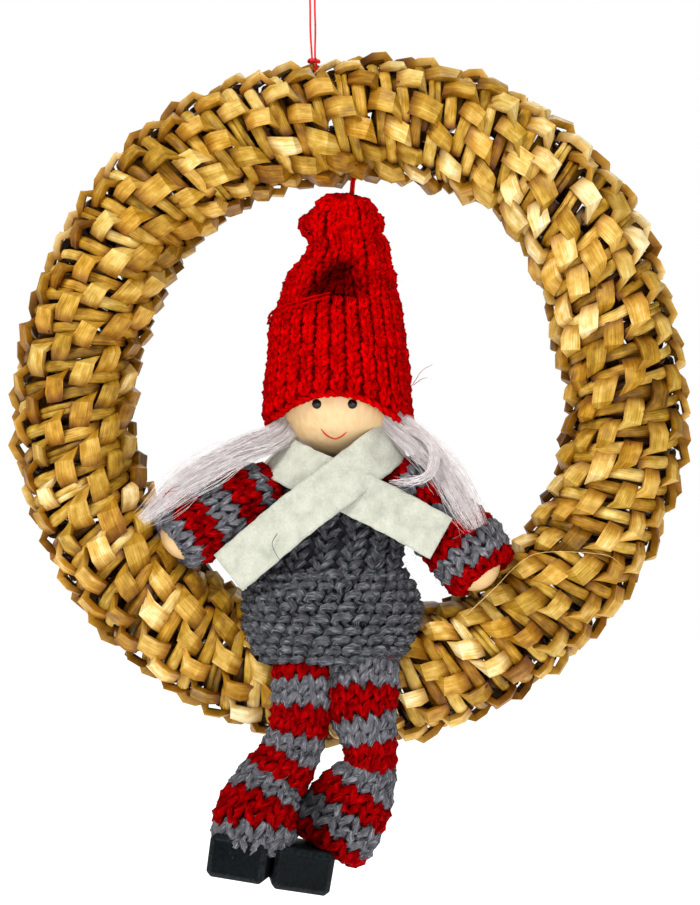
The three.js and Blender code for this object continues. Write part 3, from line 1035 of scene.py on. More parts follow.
    def stalk_shape(self, rng: Random, split: int) -> Sketch:
        """One straw that runs round the tube, whole or split into thinner ones.

        Args:
            rng: The random numbers.
            split: How many thinner ones it is split into.

        Returns:
            Its closed shape, along Y.
        """
        parts = []
        length, bow = self.stalk_length, self.tube - 1.3
        stations = np.linspace(-0.5, 0.5, 5)
        width = self.straw_width * rng.uniform(0.95, 1.2) / split
        ridge = rng.uniform(0, TURN)
        for k in range(split):
            offset = (k - (split - 1) / 2) * width * 1.02
            flat = rng.uniform(0.55, 0.8) if split == 1 else 0.9
            sides = 8 if split == 1 else 6
            ring = np.arange(sides) / sides * TURN
            s, a = np.meshgrid(stations, ring, indexing="ij")
            swell = 1 + 0.04 * (2 * s) ** 2 + wander(rng, s, 1.3, 0.03)
            swell = swell + 0.06 * np.cos(3 * a + ridge)
            squash = 1 - 0.3 * smooth_step(np.abs(s), 0.34, 0.5)
            x = offset + np.cos(a) * width / 2 * swell + wander(rng, s, 0.8, 0.12)
            z = np.sin(a) * width / 2 * flat * squash
            arc = s * length / bow
            points = np.stack([x, (bow + z) * np.sin(arc), (bow + z) * np.cos(arc) - bow], -1)
            faces = [tuple(reversed(f)) for f in lattice(len(stations), sides, wrap=True)]
            faces.append(tuple(range(sides)))
            faces.append(tuple(reversed(range((len(stations) - 1) * sides, len(stations) * sides))))
            drift = rng.uniform(0, 40)
            uv = np.stack([s.ravel() * length, a.ravel() * width / 2 + drift], -1)
            # painted shade: darker towards the ends, where the stalk runs under the folds
            shade = np.interp(np.abs(s.ravel()), [0.3, 0.5], [1.0, 0.1])
            parts.append(Sketch(points.reshape(-1, 3), faces, uv=uv, marks={"shade": shade}))
        return Sketch.together(parts)

    def laid(self, name: str, tree: Tree, shapes: Sequence[Sketch], crisp: float,
             spots: dict[str, Array], finish: Material, unevenness: float) -> Piece:
        """Lays straws at the given spots, each one of the given shapes.

        Args:
            name: The name of the new piece.
            tree: The tree that lays straws.
            shapes: The shapes.
            crisp: The angle in degrees above which an edge stays sharp.
            spots: The points and their marks.
            finish: The straw's material.
            unevenness: How far a straw turns at random, in radians.

        Returns:
            The new piece.
        """
        kit = bpy.data.collections.new(name)
        for number, shape in enumerate(shapes):
            label = f"{name}_{number:02d}"
            kit.objects.link(bpy.data.objects.new(label, shape.mesh(label, False, crisp)))
        points = spots.pop("points")
        seeds = Sketch(points, marks=spots).mesh(name + "_spots")
        piece = grow(seeds, tree, name, Straws=kit, Seed=self.seed, Unevenness=unevenness,
                     Material=finish)
        for straw in list(kit.objects):
            bpy.data.objects.remove(straw)
        bpy.data.collections.remove(kit)
        return piece

    def build(self, tree: Tree, finish: Material) -> None:
        """Makes the folds and the stalks between them.

        Args:
            tree: The tree that lays straws.
            finish: The straw's material.
        """
        rng = np.random.default_rng(self.seed)
        spots = self.folds()
        angle, roll, loose = spots["angle"], spots["roll"], spots["loose"]
        count = len(angle)
        angle = angle + rng.normal(0, 0.3, count) * loose
        roll = roll + rng.normal(0, 1.8, count) * loose
        tone = np.clip(rng.normal(0.52, 0.13, count) + 0.1 * (loose - 1), 0.15, 0.85)
        pale = rng.random(count) < 0.08 + 0.1 * (loose - 1)
        tone = np.where(pale, rng.uniform(0.82, 1.0, count), tone)
        # painted shade: folds on the inner side of the tube and round its back are up to 0.3 darker
        tone = tone - 0.3 * smooth_step(np.abs(roll + 90 - 360 * (roll < -180)), 55, 110) * (roll < -90)
        size = np.stack([rng.uniform(0.93, 1.1, count)] * 3, -1)
        size[:, 0] *= np.sqrt(1 + self.tube / self.radius * np.cos(np.radians(roll)))
        size *= (1 + 0.1 * (loose - 1))[:, None]
        points, out, way = self.place(angle, roll, self.tube + rng.normal(0, 0.2, count))
        shapes = [self.fold_shape(rng) for _ in range(self.fold_kinds)]
        folds = self.laid("straw_folds", tree, shapes, self.fold_crisp, {
            "points": points, "out": out, "along": way, "loose": loose, "size": size,
            "tone": tone, "variant": rng.integers(0, self.fold_kinds, count).astype(float)},
            finish, self.fold_unevenness)
        settle(folds, "straw", "straw_ring")
        settle(self.stalks(rng, tree, finish, angle, roll, tone, loose), "straw")

    def stalks(self, rng: Random, tree: Tree, finish: Material, angle: Array, roll: Array,
               tone: Array, loose: Array) -> Piece:
        """Lays the straws that run round the tube, one below each fold, and an inner layer in painted
        shade.

        Args:
            rng: The random numbers.
            tree: The tree that lays straws.
            finish: The straw's material.
            angle: The angles of the folds round the ring.
            roll: Their angles round the tube.
            tone: How pale they are.
            loose: How loosely they are worked.

        Returns:
            The new piece.
        """
        count = len(angle)
        shift = self.stalk_ahead / self.radius
        drop = self.stalk_drop / self.tube
        angle = angle + math.degrees(shift) + rng.normal(0, 0.2, count)
        roll = roll - math.degrees(drop) + rng.normal(0, 0.8, count)
        half = 180 / (self.chains + self.slant * self.twist)
        angle, roll = np.concatenate([angle, angle + half]), np.concatenate([roll, roll - 6.0])
        # painted shade: the inner layer is darker, 0.4 of the folds' tone here and 0.3 lower again below
        tone, loose = np.concatenate([tone, tone * 0.4]), np.concatenate([loose, loose])
        deep = np.repeat(self.stalk_depths, count)
        count *= 2
        points, out, way = self.place(angle, roll, self.tube - deep + rng.normal(0, 0.12, count))
        up = np.cross(out, way)
        tilt = np.radians(rng.normal(self.stalk_tilt, 2.5, count))[:, None]
        way = way * np.cos(tilt) + up * np.sin(tilt)
        size = np.ones((count, 3)) * rng.uniform(0.92, 1.08, (count, 1))
        tone = np.clip(tone * 0.5 + rng.uniform(-0.06, 0.36, count) - 0.3 * (deep > 2), 0, 1)
        shapes = [self.stalk_shape(rng, split) for split in self.stalk_splits]
        return self.laid("straw_stalks", tree, shapes, self.stalk_crisp, {
            "points": points, "out": out, "along": way, "loose": loose, "size": size,
            "tone": tone, "variant": rng.integers(0, len(self.stalk_splits), count).astype(float)},
            finish, self.stalk_unevenness)


# ---- knitting


class Stitch(Enum):
    """Which side of the fabric faces out."""

    KNIT = "the smooth side, rows of V shapes"
    PURL = "the rough side, rows of bumps"


class Cloth:
    """A surface that fabric is knitted on. u goes once round it and v goes along it."""

    turned = 1.0  # -1 where the way round and the way along make a normal that points inwards

    def place(self, u: Array, v: Array) -> Array:
        """The points of the surface."""
        raise NotImplementedError

    def lifted(self, u: Array, v: Array, lift: Array) -> Array:
        """The points at a height above the surface.

        Args:
            u: The shares of the way round.
            v: The shares of the way along.
            lift: The heights, in millimetres.

        Returns:
            The points.
        """
        step = 0.004
        low, high = np.clip(v - step, 0, 1), np.clip(v + step, 0, 1)
        round_way = self.place(u + step, v) - self.place(u - step, v)
        long_way = self.place(u, high) - self.place(u, low)
        normal = unit(np.cross(round_way, long_way)) * self.turned
        return self.place(u, v) + normal * lift[..., None]


class Limb(Cloth):
    """A stuffed tube along a line, with an oval section that is rounded off at the ends."""

    turned = -1.0

    def __init__(self, rows: Rows, near_end: float, far_end: float, stretch: float) -> None:
        """Takes the sections.

        Args:
            rows: x, y, z, half width and half depth of each section.
            near_end: The share of the girth left at the near end.
            far_end: The share of the girth left at the far end.
            stretch: The share of the length over which each end is rounded.
        """
        self.spine = Spine(rows, (0, 1, 2))
        self.near_end = near_end
        self.far_end = far_end
        self.stretch = stretch

    def place(self, u: Array, v: Array) -> Array:
        """The points of the surface.

        Args:
            u: The shares of the way round.
            v: The shares of the way along.

        Returns:
            The points.
        """
        row = self.spine.at(v)
        side, out = self.spine.axes(v, 0.01)
        near = 1 - (1 - self.near_end) * (1 - np.clip(v / self.stretch, 0, 1)) ** 2
        far = 1 - (1 - self.far_end) * (1 - np.clip((1 - v) / self.stretch, 0, 1)) ** 2
        full = (near * far)[..., None]
        angle = TURN * u[..., None]
        return row[..., :3] + full * (side * row[..., 3:4] * np.cos(angle)
                                      + out * row[..., 4:5] * np.sin(angle))


@dataclass
class Knitting:
    """How a piece is knitted: its loops, yarn and colours."""

    columns: int
    rows: int
    yarn: float
    stitch: Stitch = Stitch.KNIT
    lean: float = 0.29
    loop: float = 0.76
    depth: float = 0.75
    pinch: float = 0.0
    offset: float = 0.0
    plump: float = 0.2
    slant: float = 0.0
    sink: float = 0.0
    steps: int = 12
    start: float = 0.0
    end: float = 1.0
    heads_up: float = -1.0
    uneven: float = 1.0
    light: float = 1.0
    colours: Callable[[int], float] = lambda row: 0.0
    shaded: Optional[Callable[[Array], Array]] = None

    def course(self, cloth: Cloth, row: int, rng: Random) -> Sketch:
        """One course of loops round the cloth.

        Args:
            cloth: The surface that it lies on.
            row: Which course it is.
            rng: The random numbers.

        Returns:
            The closed line of its yarn.
        """
        count = self.columns * self.steps
        t = np.arange(count) / self.steps * TURN
        pitch = (self.end - self.start) / self.rows
        per_loop = rng.normal(0, 1, (4, self.columns)) * self.uneven
        wobble = [np.interp(t / TURN, np.arange(self.columns), w, period=self.columns)
                  for w in per_loop]
        lean = self.lean + 0.02 * wobble[0]
        u = t / TURN + lean * np.sin(2 * t) - self.pinch * np.sin(t) + 0.02 * wobble[1]
        u = (u + self.offset * row) / self.columns
        u = u + wander(rng, np.array([float(row)]), 0.13, 0.12)[0] / self.columns
        reach = self.loop * (1 + 0.05 * wobble[2])
        v = self.start + pitch * (row + 0.5 + self.heads_up * reach * np.cos(t))
        v = v + pitch * (0.05 * wobble[3] + self.slant * np.sin(t))
        face = -np.cos(2 * t) if self.stitch is Stitch.KNIT else np.cos(t)
        lift = self.depth * face - self.sink * np.clip(-np.cos(t), 0, 1) ** 2
        lift = lift + 0.1 * wobble[2]
        points = cloth.lifted(u, np.clip(v, 0.002, 0.998), lift)
        girth = 1 + self.plump * face + 0.05 * wobble[0]
        gaps = np.linalg.norm(np.diff(points, axis=0), axis=1)
        run = np.concatenate([[0.0], np.cumsum(gaps)])
        light = self.light * (self.shaded(points) if self.shaded else 1.0)
        return Sketch.line(points, closed=True, girth=girth, run=run, tint=self.colours(row),
                           light=light)

    def worked(self, cloth: Cloth, seed: int) -> Sketch:
        """All the courses, as closed lines of yarn."""
        rng = np.random.default_rng(seed)
        return Sketch.together([self.course(cloth, row, rng) for row in range(self.rows)])

    def lining(self, cloth: Cloth, depth: float) -> Sketch:
        """A closed skin behind the loops, in the colours of the courses, darkened as painted shade.

        Args:
            cloth: The surface.
            depth: How far the skin is below it.

        Returns:
            The skin.
        """
        skin = lathe(lambda u, v: cloth.lifted(u, v, np.full_like(u, -depth)), 3 * self.rows + 1,
                     2 * self.columns, cloth.turned < 0, 0.004, 0.996)
        row = (skin.marks.pop("v") - self.start) / (self.end - self.start) * self.rows
        rows = np.clip(row, 0, self.rows - 1).astype(int)
        skin.marks["tint"] = np.array([self.colours(r) for r in rows])
        # painted shade: the skin keeps only 0.4 of the yarn's light
        skin.marks["light"] = np.full(len(rows), 0.4 * self.light)
        return skin


@dataclass
class Yarn:
    """What turns lines of yarn into pieces."""

    sweep: Tree
    scatter: Tree
    plies: int = 3
    groove: float = 0.8
    twist: float = 0.9

    def spun(self, name: str, lines: Sketch, diameter: float, finish: Material) -> Piece:
        """Sweeps yarn along lines."""
        return grow(lines.mesh(name + "_lines"), self.sweep, name, Plies=self.plies,
                    Radius=diameter / 2 * MM, Groove=self.groove, Twist=self.twist, Material=finish)

    def lined(self, name: str, lines: Sketch, work: Knitting, cloth: Cloth,
              finish: Material, depth: float = 0.9) -> list[Piece]:
        """Sweeps a knitted piece's yarn, and puts behind it a skin darkened as painted shade."""
        skin = work.lining(cloth, depth).mesh("lining")
        return [self.spun(name, lines, work.yarn, finish), shown(skin, "lining", finish)]

    def fibre(self) -> Piece:
        """One loose curled fibre, 1 mm long, that stands on +Z.

        Returns:
            The fibre.
        """
        t = np.linspace(0, 1, 3)
        middle = np.stack([0.35 * t**2, 0.12 * np.sin(4 * t), t], -1)
        width = 0.02 * (1 - 0.7 * t)
        section = np.arange(3) / 3 * TURN
        ring = np.stack([np.cos(section), np.sin(section), np.zeros(3)], -1)
        points = (middle[:, None] + ring[None] * width[:, None, None]).reshape(-1, 3)
        faces: list[Sequence[int]] = list(lattice(3, 3, wrap=True))
        faces += [(2, 1, 0), (6, 7, 8)]
        return shown(Sketch(points, faces).mesh("fibre", in_place=False), "fibre")

    def fuzz(self, name: str, surface: Piece, density: float, finish: Material,
             seed: int, lengths: tuple[float, float] = (1.2, 3.4), lean: float = 1.2
             ) -> Piece:
        """Scatters loose fibres over a piece.

        Args:
            name: The name of the new piece.
            surface: The piece that they grow from.
            density: How many there are in a square millimetre.
            finish: Their material.
            seed: The random seed.
            lengths: The shortest and longest fibre, in millimetres.
            lean: How far they lean over, in radians.

        Returns:
            The fibres.
        """
        fibre = self.fibre()
        piece = grow(surface.data.copy(), self.scatter, name, Fibre=fibre, Seed=seed,
                     Density=density / MM**2, Lean=lean, Shortest=lengths[0], Longest=lengths[1],
                     Material=finish)
        bpy.data.objects.remove(fibre)
        return piece


def joined(name: str, pieces: Sequence[Piece]) -> Piece:
    """Joins pieces into the first of them, and names it.

    Args:
        name: The new name.
        pieces: The pieces.

    Returns:
        The joined piece.
    """
    with bpy.context.temp_override(active_object=pieces[0], selected_editable_objects=list(pieces)):
        bpy.ops.object.join()
    pieces[0].name = name
    pieces[0].data.name = name
    return pieces[0]


def settle(piece: Piece, slot: str, *nodes: str) -> None:
    """Lets a piece ride on the one body in place of the named solids, and logs its slot.

    Args:
        piece: The piece.
        slot: Its material slot.
        nodes: The solids that it is shown for.
    """
    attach(piece, "root")
    if nodes:
        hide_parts(*nodes)
    if piece.type == "MESH":
        corners = sum(len(p.vertices) - 2 for p in piece.data.polygons)
        LOG.info("%s: %d triangles, slot %s", piece.name, corners, slot)
    else:
        LOG.info("%s: a curve, slot %s", piece.name, slot)


# ---- the cap


class CapCloth(Cloth):
    """The cap's surface, from its brim up to the tied tuft."""

    def __init__(self, cap: "Cap") -> None:
        """Takes the cap's sizes."""
        self.cap = cap
        self.spine = Spine(cap.sections, (0, 2))

    def place(self, u: Array, v: Array) -> Array:
        """The points of the surface.

        Args:
            u: The shares of the way round.
            v: The shares of the way along.

        Returns:
            The points.
        """
        cap = self.cap
        row = self.spine.at(v)
        z, middle, half_width, half_depth = (row[..., k] for k in range(4))
        gather = smooth_step(z, *cap.gathered)
        angle = TURN * u
        angle = angle + 0.5 * gather / cap.pleats * np.sin(cap.pleats * (angle - cap.pleat_turn))
        frontness = np.maximum(0, -np.sin(angle))
        lift = 1 - smooth_step(z, cap.sections[0][0], cap.arch_top)
        arch = cap.arch_height * frontness**2 - cap.brim_tilt * np.cos(angle)
        pleat = cap.pleat * gather * np.cos(cap.pleats * (angle - cap.pleat_turn))
        tuft = smooth_step(z, *cap.tied)
        ruffle = 0.7 * tuft * (np.cos(7 * angle + 0.6 + 0.2 * z) + 0.6 * np.cos(11 * angle + 0.28 * z))
        for lump in cap.lumps:
            away = apart(np.degrees(angle), lump.angle)
            ruffle = ruffle + lump.rise * np.exp(-(away / 24) ** 2 - ((z - lump.z) / 2.0) ** 2)
        x = middle + (half_width + pleat + ruffle) * np.cos(angle)
        y = cap.middle_y + (half_depth + pleat + ruffle) * np.sin(angle)
        height = z + arch * lift + 0.9 * tuft * np.cos(5 * angle + 1.0)
        y = y + cap.hollow.depth(x, height) * frontness
        return np.stack([x, y, height], -1)


@dataclass(frozen=True)
class Lump:
    """A place where the tuft or the tie stands out."""

    angle: float
    z: float
    rise: float


@dataclass(frozen=True)
class Hollow:
    """A dark three-cornered dent in the front of the cap, under the tie."""

    low: float = 27.0
    high: float = 40.0
    base: tuple[float, float] = (-4.6, 9.4)
    tip: tuple[float, float] = (-2.2, 2.2)
    deep: float = 7.5
    shade: float = 0.72

    def depth(self, x: Array, z: Array) -> Array:
        """How deep the dent is at places on the front.

        Args:
            x: How far right they are.
            z: How far up they are.

        Returns:
            The depths.
        """
        share = np.clip((z - self.low) / (self.high - self.low), 0, 1)
        middle = self.base[0] + (self.tip[0] - self.base[0]) * share
        wide = self.base[1] + (self.tip[1] - self.base[1]) * share
        upright = smooth_step(z, self.low - 1.2, self.low + 1.6) * (1 - smooth_step(
            z, self.high - 4, self.high))
        return self.deep * upright * np.exp(-(((x - middle) / wide) ** 4))


@dataclass
class Cap:
    """A ribbed red cap with a rolled brim, tied at the top into a tuft.

    A section is a height, a middle x, a half width and a half depth.
    """

    sections: Table = (
        (-8.6, -3.2, 19.4, 18.6), (-6.0, -3.3, 20.2, 19.6), (-1.0, -3.4, 19.8, 19.2),
        (5.0, -3.4, 19.2, 18.6), (12.0, -3.5, 18.5, 17.6), (20.5, -3.6, 17.7, 15.8),
        (27.0, -3.0, 16.0, 13.2), (34.0, -2.4, 13.2, 10.4), (39.0, -1.2, 10.0, 8.0),
        (42.6, -0.8, 8.2, 6.4), (46.0, -1.6, 7.8, 6.4), (50.0, -2.2, 7.9, 6.4),
        (53.6, -1.6, 5.6, 4.8), (55.6, -0.6, 2.2, 2.0))
    lumps: tuple[Lump, ...] = (
        Lump(180, 49.2, 2.2), Lump(200, 53.6, 2.4), Lump(0, 49.0, 2.0), Lump(0, 42.6, 1.8),
        Lump(265, 47.0, 1.6), Lump(300, 51.0, 1.5), Lump(235, 44.5, 1.4), Lump(90, 48.0, 1.8))
    middle_y: float = -2.4
    arch_height: float = 9.0
    arch_top: float = 20.0
    brim_tilt: float = 1.0
    gathered: tuple[float, float] = (24.0, 38.0)  # heights between which the pleats form
    tied: tuple[float, float] = (42.6, 46.0)  # heights between which the tuft begins
    pleats: int = 5
    pleat: float = 1.9
    pleat_turn: float = math.radians(-54)
    hollow: Hollow = Hollow()
    ribs: int = 28
    yarn: float = 1.9

    def build(self, yarn: Yarn, finish: Material) -> None:
        """Knits the cap, its brim's edge, its stem, its sewing thread and its loose fibres.

        Args:
            yarn: What spins the yarn.
            finish: Its material.
        """
        cloth = CapCloth(self)
        work = Knitting(columns=self.ribs, rows=23, yarn=self.yarn, lean=0.22, loop=0.85, depth=0.5,
                        sink=1.3, pinch=0.085, steps=13, start=0.02, end=0.985, heads_up=1.0,
                        plump=0.12, uneven=1.6, colours=lambda row: 1.0, shaded=self.gloom)
        knit = yarn.lined("cap_knit", work.worked(cloth, 21), work, cloth, finish, 1.0)
        edge = self.brim_edge(yarn, cloth, finish)
        stem = self.strand(yarn, "cap_stem", np.array([
            (-1.4, -2.4, 51.0), (-0.6, -1.0, 54.0), (0.3, 0.0, 56.6), (0.8, 0.0, 60.0),
            (1.1, 0.0, 62.6)]), 1.35, finish)
        cap = joined("cap_knit", [*knit, edge, stem])
        fuzz = yarn.fuzz("cap_fuzz", cap, 0.11, finish, 5, (0.5, 1.5))
        stitch = self.sewing(yarn, cloth, finish)
        settle(cap, "red_knit", "hat")
        settle(fuzz, "red_knit")
        settle(stitch, "red_knit")

    def gloom(self, points: Array) -> Array:
        """How much light is left on the yarn: little in the hollow, and all elsewhere."""
        dent = self.hollow.depth(points[:, 0], points[:, 2]) * (points[:, 1] < 0)
        return 1 - self.hollow.shade * dent / self.hollow.deep

    def strand(self, yarn: Yarn, name: str, rows: Array, diameter: float, finish: Material) -> Piece:
        """A single strand of yarn through some points.

        Args:
            yarn: What spins it.
            name: Its name.
            rows: The points.
            diameter: Its diameter.
            finish: Its material.

        Returns:
            The strand.
        """
        points = along(rows, np.linspace(0, 1, 40))
        line = Sketch.line(points, girth=1, run=np.arange(len(points)) * 0.4, tint=1, light=1)
        return yarn.spun(name, line, diameter, finish)

    def sewing(self, yarn: Yarn, cloth: CapCloth, finish: Material) -> Piece:
        """A doubled sewing thread pulled tight over the front, below the hollow.

        Args:
            yarn: What spins the yarn.
            cloth: The cap's surface.
            finish: Its material.

        Returns:
            The thread.
        """
        pieces = []
        for number, (low, high) in enumerate(((20.6, 27.2), (21.8, 27.9))):
            u = np.linspace(0.5, 0.725, 6)
            z = np.linspace(low, high, 6)
            v = np.array([cloth.spine.share(0, value - 1.5) for value in z])
            points = cloth.lifted(u, v, np.full(6, 1.5))
            points[:, 2] = z + 0.4 * number
            pieces.append(self.strand(yarn, f"cap_sewing_{number}", points, 0.75, finish))
        return joined("cap_sewing", pieces)

    def brim_edge(self, yarn: Yarn, cloth: CapCloth, finish: Material) -> Piece:
        """The cast-on edge: two twisted strands along the brim.

        Args:
            yarn: What spins the yarn.
            cloth: The cap's surface.
            finish: Its material.

        Returns:
            The edge.
        """
        count = 220
        u = np.arange(count) / count
        lines = []
        for strand in (0, 1):
            turn = TURN * (24 * u + strand / 2)
            points = cloth.lifted(u, np.full(count, 0.006) + 0.006 * np.cos(turn), 0.6 * np.sin(turn))
            lines.append(Sketch.line(points, closed=True, girth=1, run=np.arange(count) * 0.6, tint=1,
                                     light=1))
        return yarn.spun("cap_edge", Sketch.together(lines), 1.7, finish)


# ---- the sweater and trousers


def slimmed(rows: Rows, skin: float) -> list[tuple[float, ...]]:
    """Sections of a limb made thinner by the height of its loops."""
    return [(*row[:3], row[3] - skin, row[4] - skin) for row in rows]


def stuffed(yarn: Yarn, piece: Piece, node: str, slot: str, density: float,
            finish: Material, seed: int, longest: float = 2.2) -> None:
    """Gives a stuffed knitted piece its loose fibres, and says what both are.

    Args:
        yarn: What makes the fibres.
        piece: The knitted piece.
        node: The solid that it is shown for.
        slot: Its material slot.
        density: How many fibres there are in a square millimetre.
        finish: Their material.
        seed: The random seed.
        longest: The longest fibre, in millimetres.
    """
    fuzz = yarn.fuzz(f"{node}_fuzz", piece, density, finish, seed, (0.8, longest))
    settle(piece, slot, node)
    settle(fuzz, slot)


class BodyCloth(Cloth):
    """The sweater's surface, from its rolled hem up to the neck."""

    def __init__(self, sections: Rows) -> None:
        """Takes height, middle x, half width, middle y and half depth of each section."""
        self.spine = Spine(sections, (0, 2))

    def place(self, u: Array, v: Array) -> Array:
        """The points of the surface.

        Args:
            u: The shares of the way round.
            v: The shares of the way along.

        Returns:
            The points.
        """
        row = self.spine.at(v)
        angle = TURN * u
        x = row[..., 1] + row[..., 2] * np.cos(angle)
        y = row[..., 3] + row[..., 4] * np.sin(angle)
        return np.stack([x, y, row[..., 0]], -1)


@dataclass
class Sweater:
    """A stuffed grey sweater, ribbed above a wide rolled hem, with two striped sleeves."""

    sections: Table = (
        (-72.0, -5.6, 16.0, -21.0, 9.6), (-70.0, -5.6, 20.0, -18.2, 13.4),
        (-65.6, -5.4, 23.0, -13.8, 16.4), (-60.5, -5.2, 24.6, -10.6, 17.0),
        (-55.5, -5.2, 24.6, -8.8, 16.4), (-51.0, -5.2, 22.6, -7.4, 14.2),
        (-47.0, -5.4, 20.2, -6.4, 12.6), (-40.0, -4.6, 20.2, -5.4, 12.2),
        (-31.0, -3.7, 19.6, -4.6, 11.4), (-24.0, -3.6, 16.4, -4.2, 10.0),
        (-19.4, -3.6, 10.0, -3.4, 8.0))
    hem_top: float = -50.0
    sleeve_left: Table = (
        (-21.0, -5.5, -24.5, 8.6, 8.6), (-27.4, -7.8, -27.4, 9.6, 9.6),
        (-35.6, -10.8, -31.6, 10.4, 10.0), (-43.8, -13.4, -36.8, 10.3, 9.8),
        (-48.6, -15.0, -40.4, 9.8, 9.2))
    sleeve_right: Table = (
        (12.4, -5.2, -21.4, 9.0, 8.4), (18.6, -6.8, -26.6, 9.6, 9.0),
        (25.2, -9.0, -34.6, 10.8, 10.4), (32.2, -11.6, -42.2, 11.5, 11.0),
        (37.2, -13.4, -49.4, 11.2, 10.4))
    hand_left: Spot = (-44.6, -12.8, -37.4)
    hand_right: Spot = (34.0, -10.9, -46.0)
    hand_radius: float = 7.4
    skin: float = 1.6

    def body(self, yarn: Yarn, finish: Material) -> Piece:
        """Knits the body and its rolled hem.

        Args:
            yarn: What spins the yarn.
            finish: Its material.

        Returns:
            The body.
        """
        cloth = BodyCloth([(z, x, w - self.skin, y, d - self.skin) for z, x, w, y, d in self.sections])
        hem = cloth.spine.share(0, self.hem_top)
        ribs = Knitting(columns=15, rows=12, yarn=2.3, lean=0.28, loop=0.8, depth=0.6, sink=2.6,
                        pinch=0.08, start=hem, end=0.99, heads_up=1.0, uneven=1.1, light=0.64)
        bumps = Knitting(columns=27, rows=9, yarn=2.3, stitch=Stitch.PURL, lean=0.22, loop=0.36,
                         depth=0.8, offset=0.42, plump=0.3, slant=0.2, start=0.02, end=hem + 0.02,
                         heads_up=1.0, uneven=1.8, light=0.76)
        loops = Sketch.together([ribs.worked(cloth, 31), bumps.worked(cloth, 32)])
        whole = Knitting(columns=24, rows=14, yarn=2.3, light=0.7)
        return joined("sweater_knit", yarn.lined("sweater_knit", loops, whole, cloth, finish))

    def sleeve(self, yarn: Yarn, finish: Material, side: str, rows: Rows, stripes: str, seed: int) -> Piece:
        """Knits one striped sleeve.

        Args:
            yarn: What spins the yarn.
            finish: Its material.
            side: Left or right.
            rows: The sleeve's sections.
            stripes: The colour of each course from the shoulder down, r for red and g for grey.
            seed: The random seed.

        Returns:
            The sleeve.
        """
        cloth = Limb(slimmed(rows, self.skin), 0.7, 0.84, 0.2)
        work = Knitting(columns=13, rows=len(stripes), yarn=2.2, start=0.0, end=0.98, uneven=1.6,
                        colours=lambda row: float(stripes[row] == "r"))
        name = f"sleeve_{side}_knit"
        return joined(name, yarn.lined(name, work.worked(cloth, seed), work, cloth, finish))

    def build(self, yarn: Yarn, grey: Material, striped: Material, wood: Material) -> None:
        """Makes the body, the sleeves, their fuzz and the hands.

        Args:
            yarn: What spins the yarn.
            grey: The yarn of the body.
            striped: The yarn of the sleeves.
            wood: The material of the hands.
        """
        stuffed(yarn, self.body(yarn, grey), "sweater", "grey_knit", 0.12, grey, 7)
        arms = (("left", self.sleeve_left, "rgrrggrrg", self.hand_left),
                ("right", self.sleeve_right, "rggrrggrrggr", self.hand_right))
        for number, (side, rows, stripes, hand) in enumerate(arms):
            sleeve = self.sleeve(yarn, striped, side, rows, stripes, 41 + number)
            stuffed(yarn, sleeve, f"sleeve_{side}", "striped_knit", 0.15, striped, 8 + number)
            ball = shown(ball_sketch(self.hand_radius, hand, 24, 40).mesh("hand"), f"hand_{side}_ball",
                         wood)
            settle(ball, "hand_wood", f"hand_{side}")


def ball_sketch(radius: float, middle: Sequence[float], rows: int, columns: int) -> Sketch:
    """A ball of a given radius about a middle.

    Args:
        radius: Its radius.
        middle: Its middle.
        rows: How many rings of points it has.
        columns: How many points are in a ring.

    Returns:
        The ball.
    """
    def place(u: Array, v: Array) -> Array:
        """The points of the ball."""
        polar = math.pi * v
        flat = np.sin(polar)
        way = np.stack([flat * np.cos(TURN * u), flat * np.sin(TURN * u), -np.cos(polar)], -1)
        return np.asarray(middle) + radius * way

    return lathe(place, rows, columns, False, 0.5 / rows, 1 - 0.5 / rows)


@dataclass
class Trousers:
    """Striped knitted trousers, two stuffed legs that hang down in front of the ring."""

    left: Table = (
        (-12.9, -16.5, -65.0, 7.9, 5.4), (-12.9, -22.2, -73.0, 8.2, 7.0),
        (-13.2, -25.0, -85.0, 8.3, 7.8), (-15.8, -25.4, -95.5, 8.1, 8.4),
        (-21.4, -27.0, -104.4, 9.6, 9.6), (-25.0, -30.4, -112.4, 11.4, 11.4),
        (-26.0, -32.8, -122.8, 11.6, 11.8))
    right: Table = (
        (3.0, -15.0, -65.0, 8.2, 4.4), (3.3, -22.2, -73.0, 9.8, 7.0), (3.6, -25.2, -84.0, 9.4, 8.0),
        (5.3, -25.2, -93.5, 7.4, 8.2), (5.4, -24.8, -101.0, 7.3, 8.4),
        (0.9, -25.4, -108.5, 11.2, 9.8), (-7.6, -27.6, -121.6, 12.6, 10.6))
    skin: float = 1.6

    def gloom(self, points: Array) -> Array:
        """How much light is left on the yarn deep between the two cuffs."""
        low = smooth_step(-points[:, 2], 101, 108)
        return 1 - 0.8 * low * bell(points[:, 0], -10.0, 5.5, 1.0)

    def build(self, yarn: Yarn, striped: Material) -> None:
        """Knits both legs as one piece.

        Args:
            yarn: What spins the yarn.
            striped: Its material.
        """
        parts = []
        for number, (rows, shift, start) in enumerate(((self.left, 1, 0.055), (self.right, 0, 0.045))):
            cloth = Limb(slimmed(rows, self.skin), 0.9, 0.8, 0.12)
            work = Knitting(columns=12, rows=17, yarn=2.3, start=start, end=0.985, uneven=1.5,
                            light=0.94, shaded=self.gloom if number else None,
                            colours=lambda row: float((row - shift) % 4 < 2))
            loops = work.worked(cloth, 51 + number)
            parts += yarn.lined(f"leg_{number}", loops, work, cloth, striped)
        legs = joined("trousers_knit", parts)
        stuffed(yarn, legs, "trousers", "striped_knit", 0.12, striped, 12, 2.4)


# ---- the head, hair and scarf


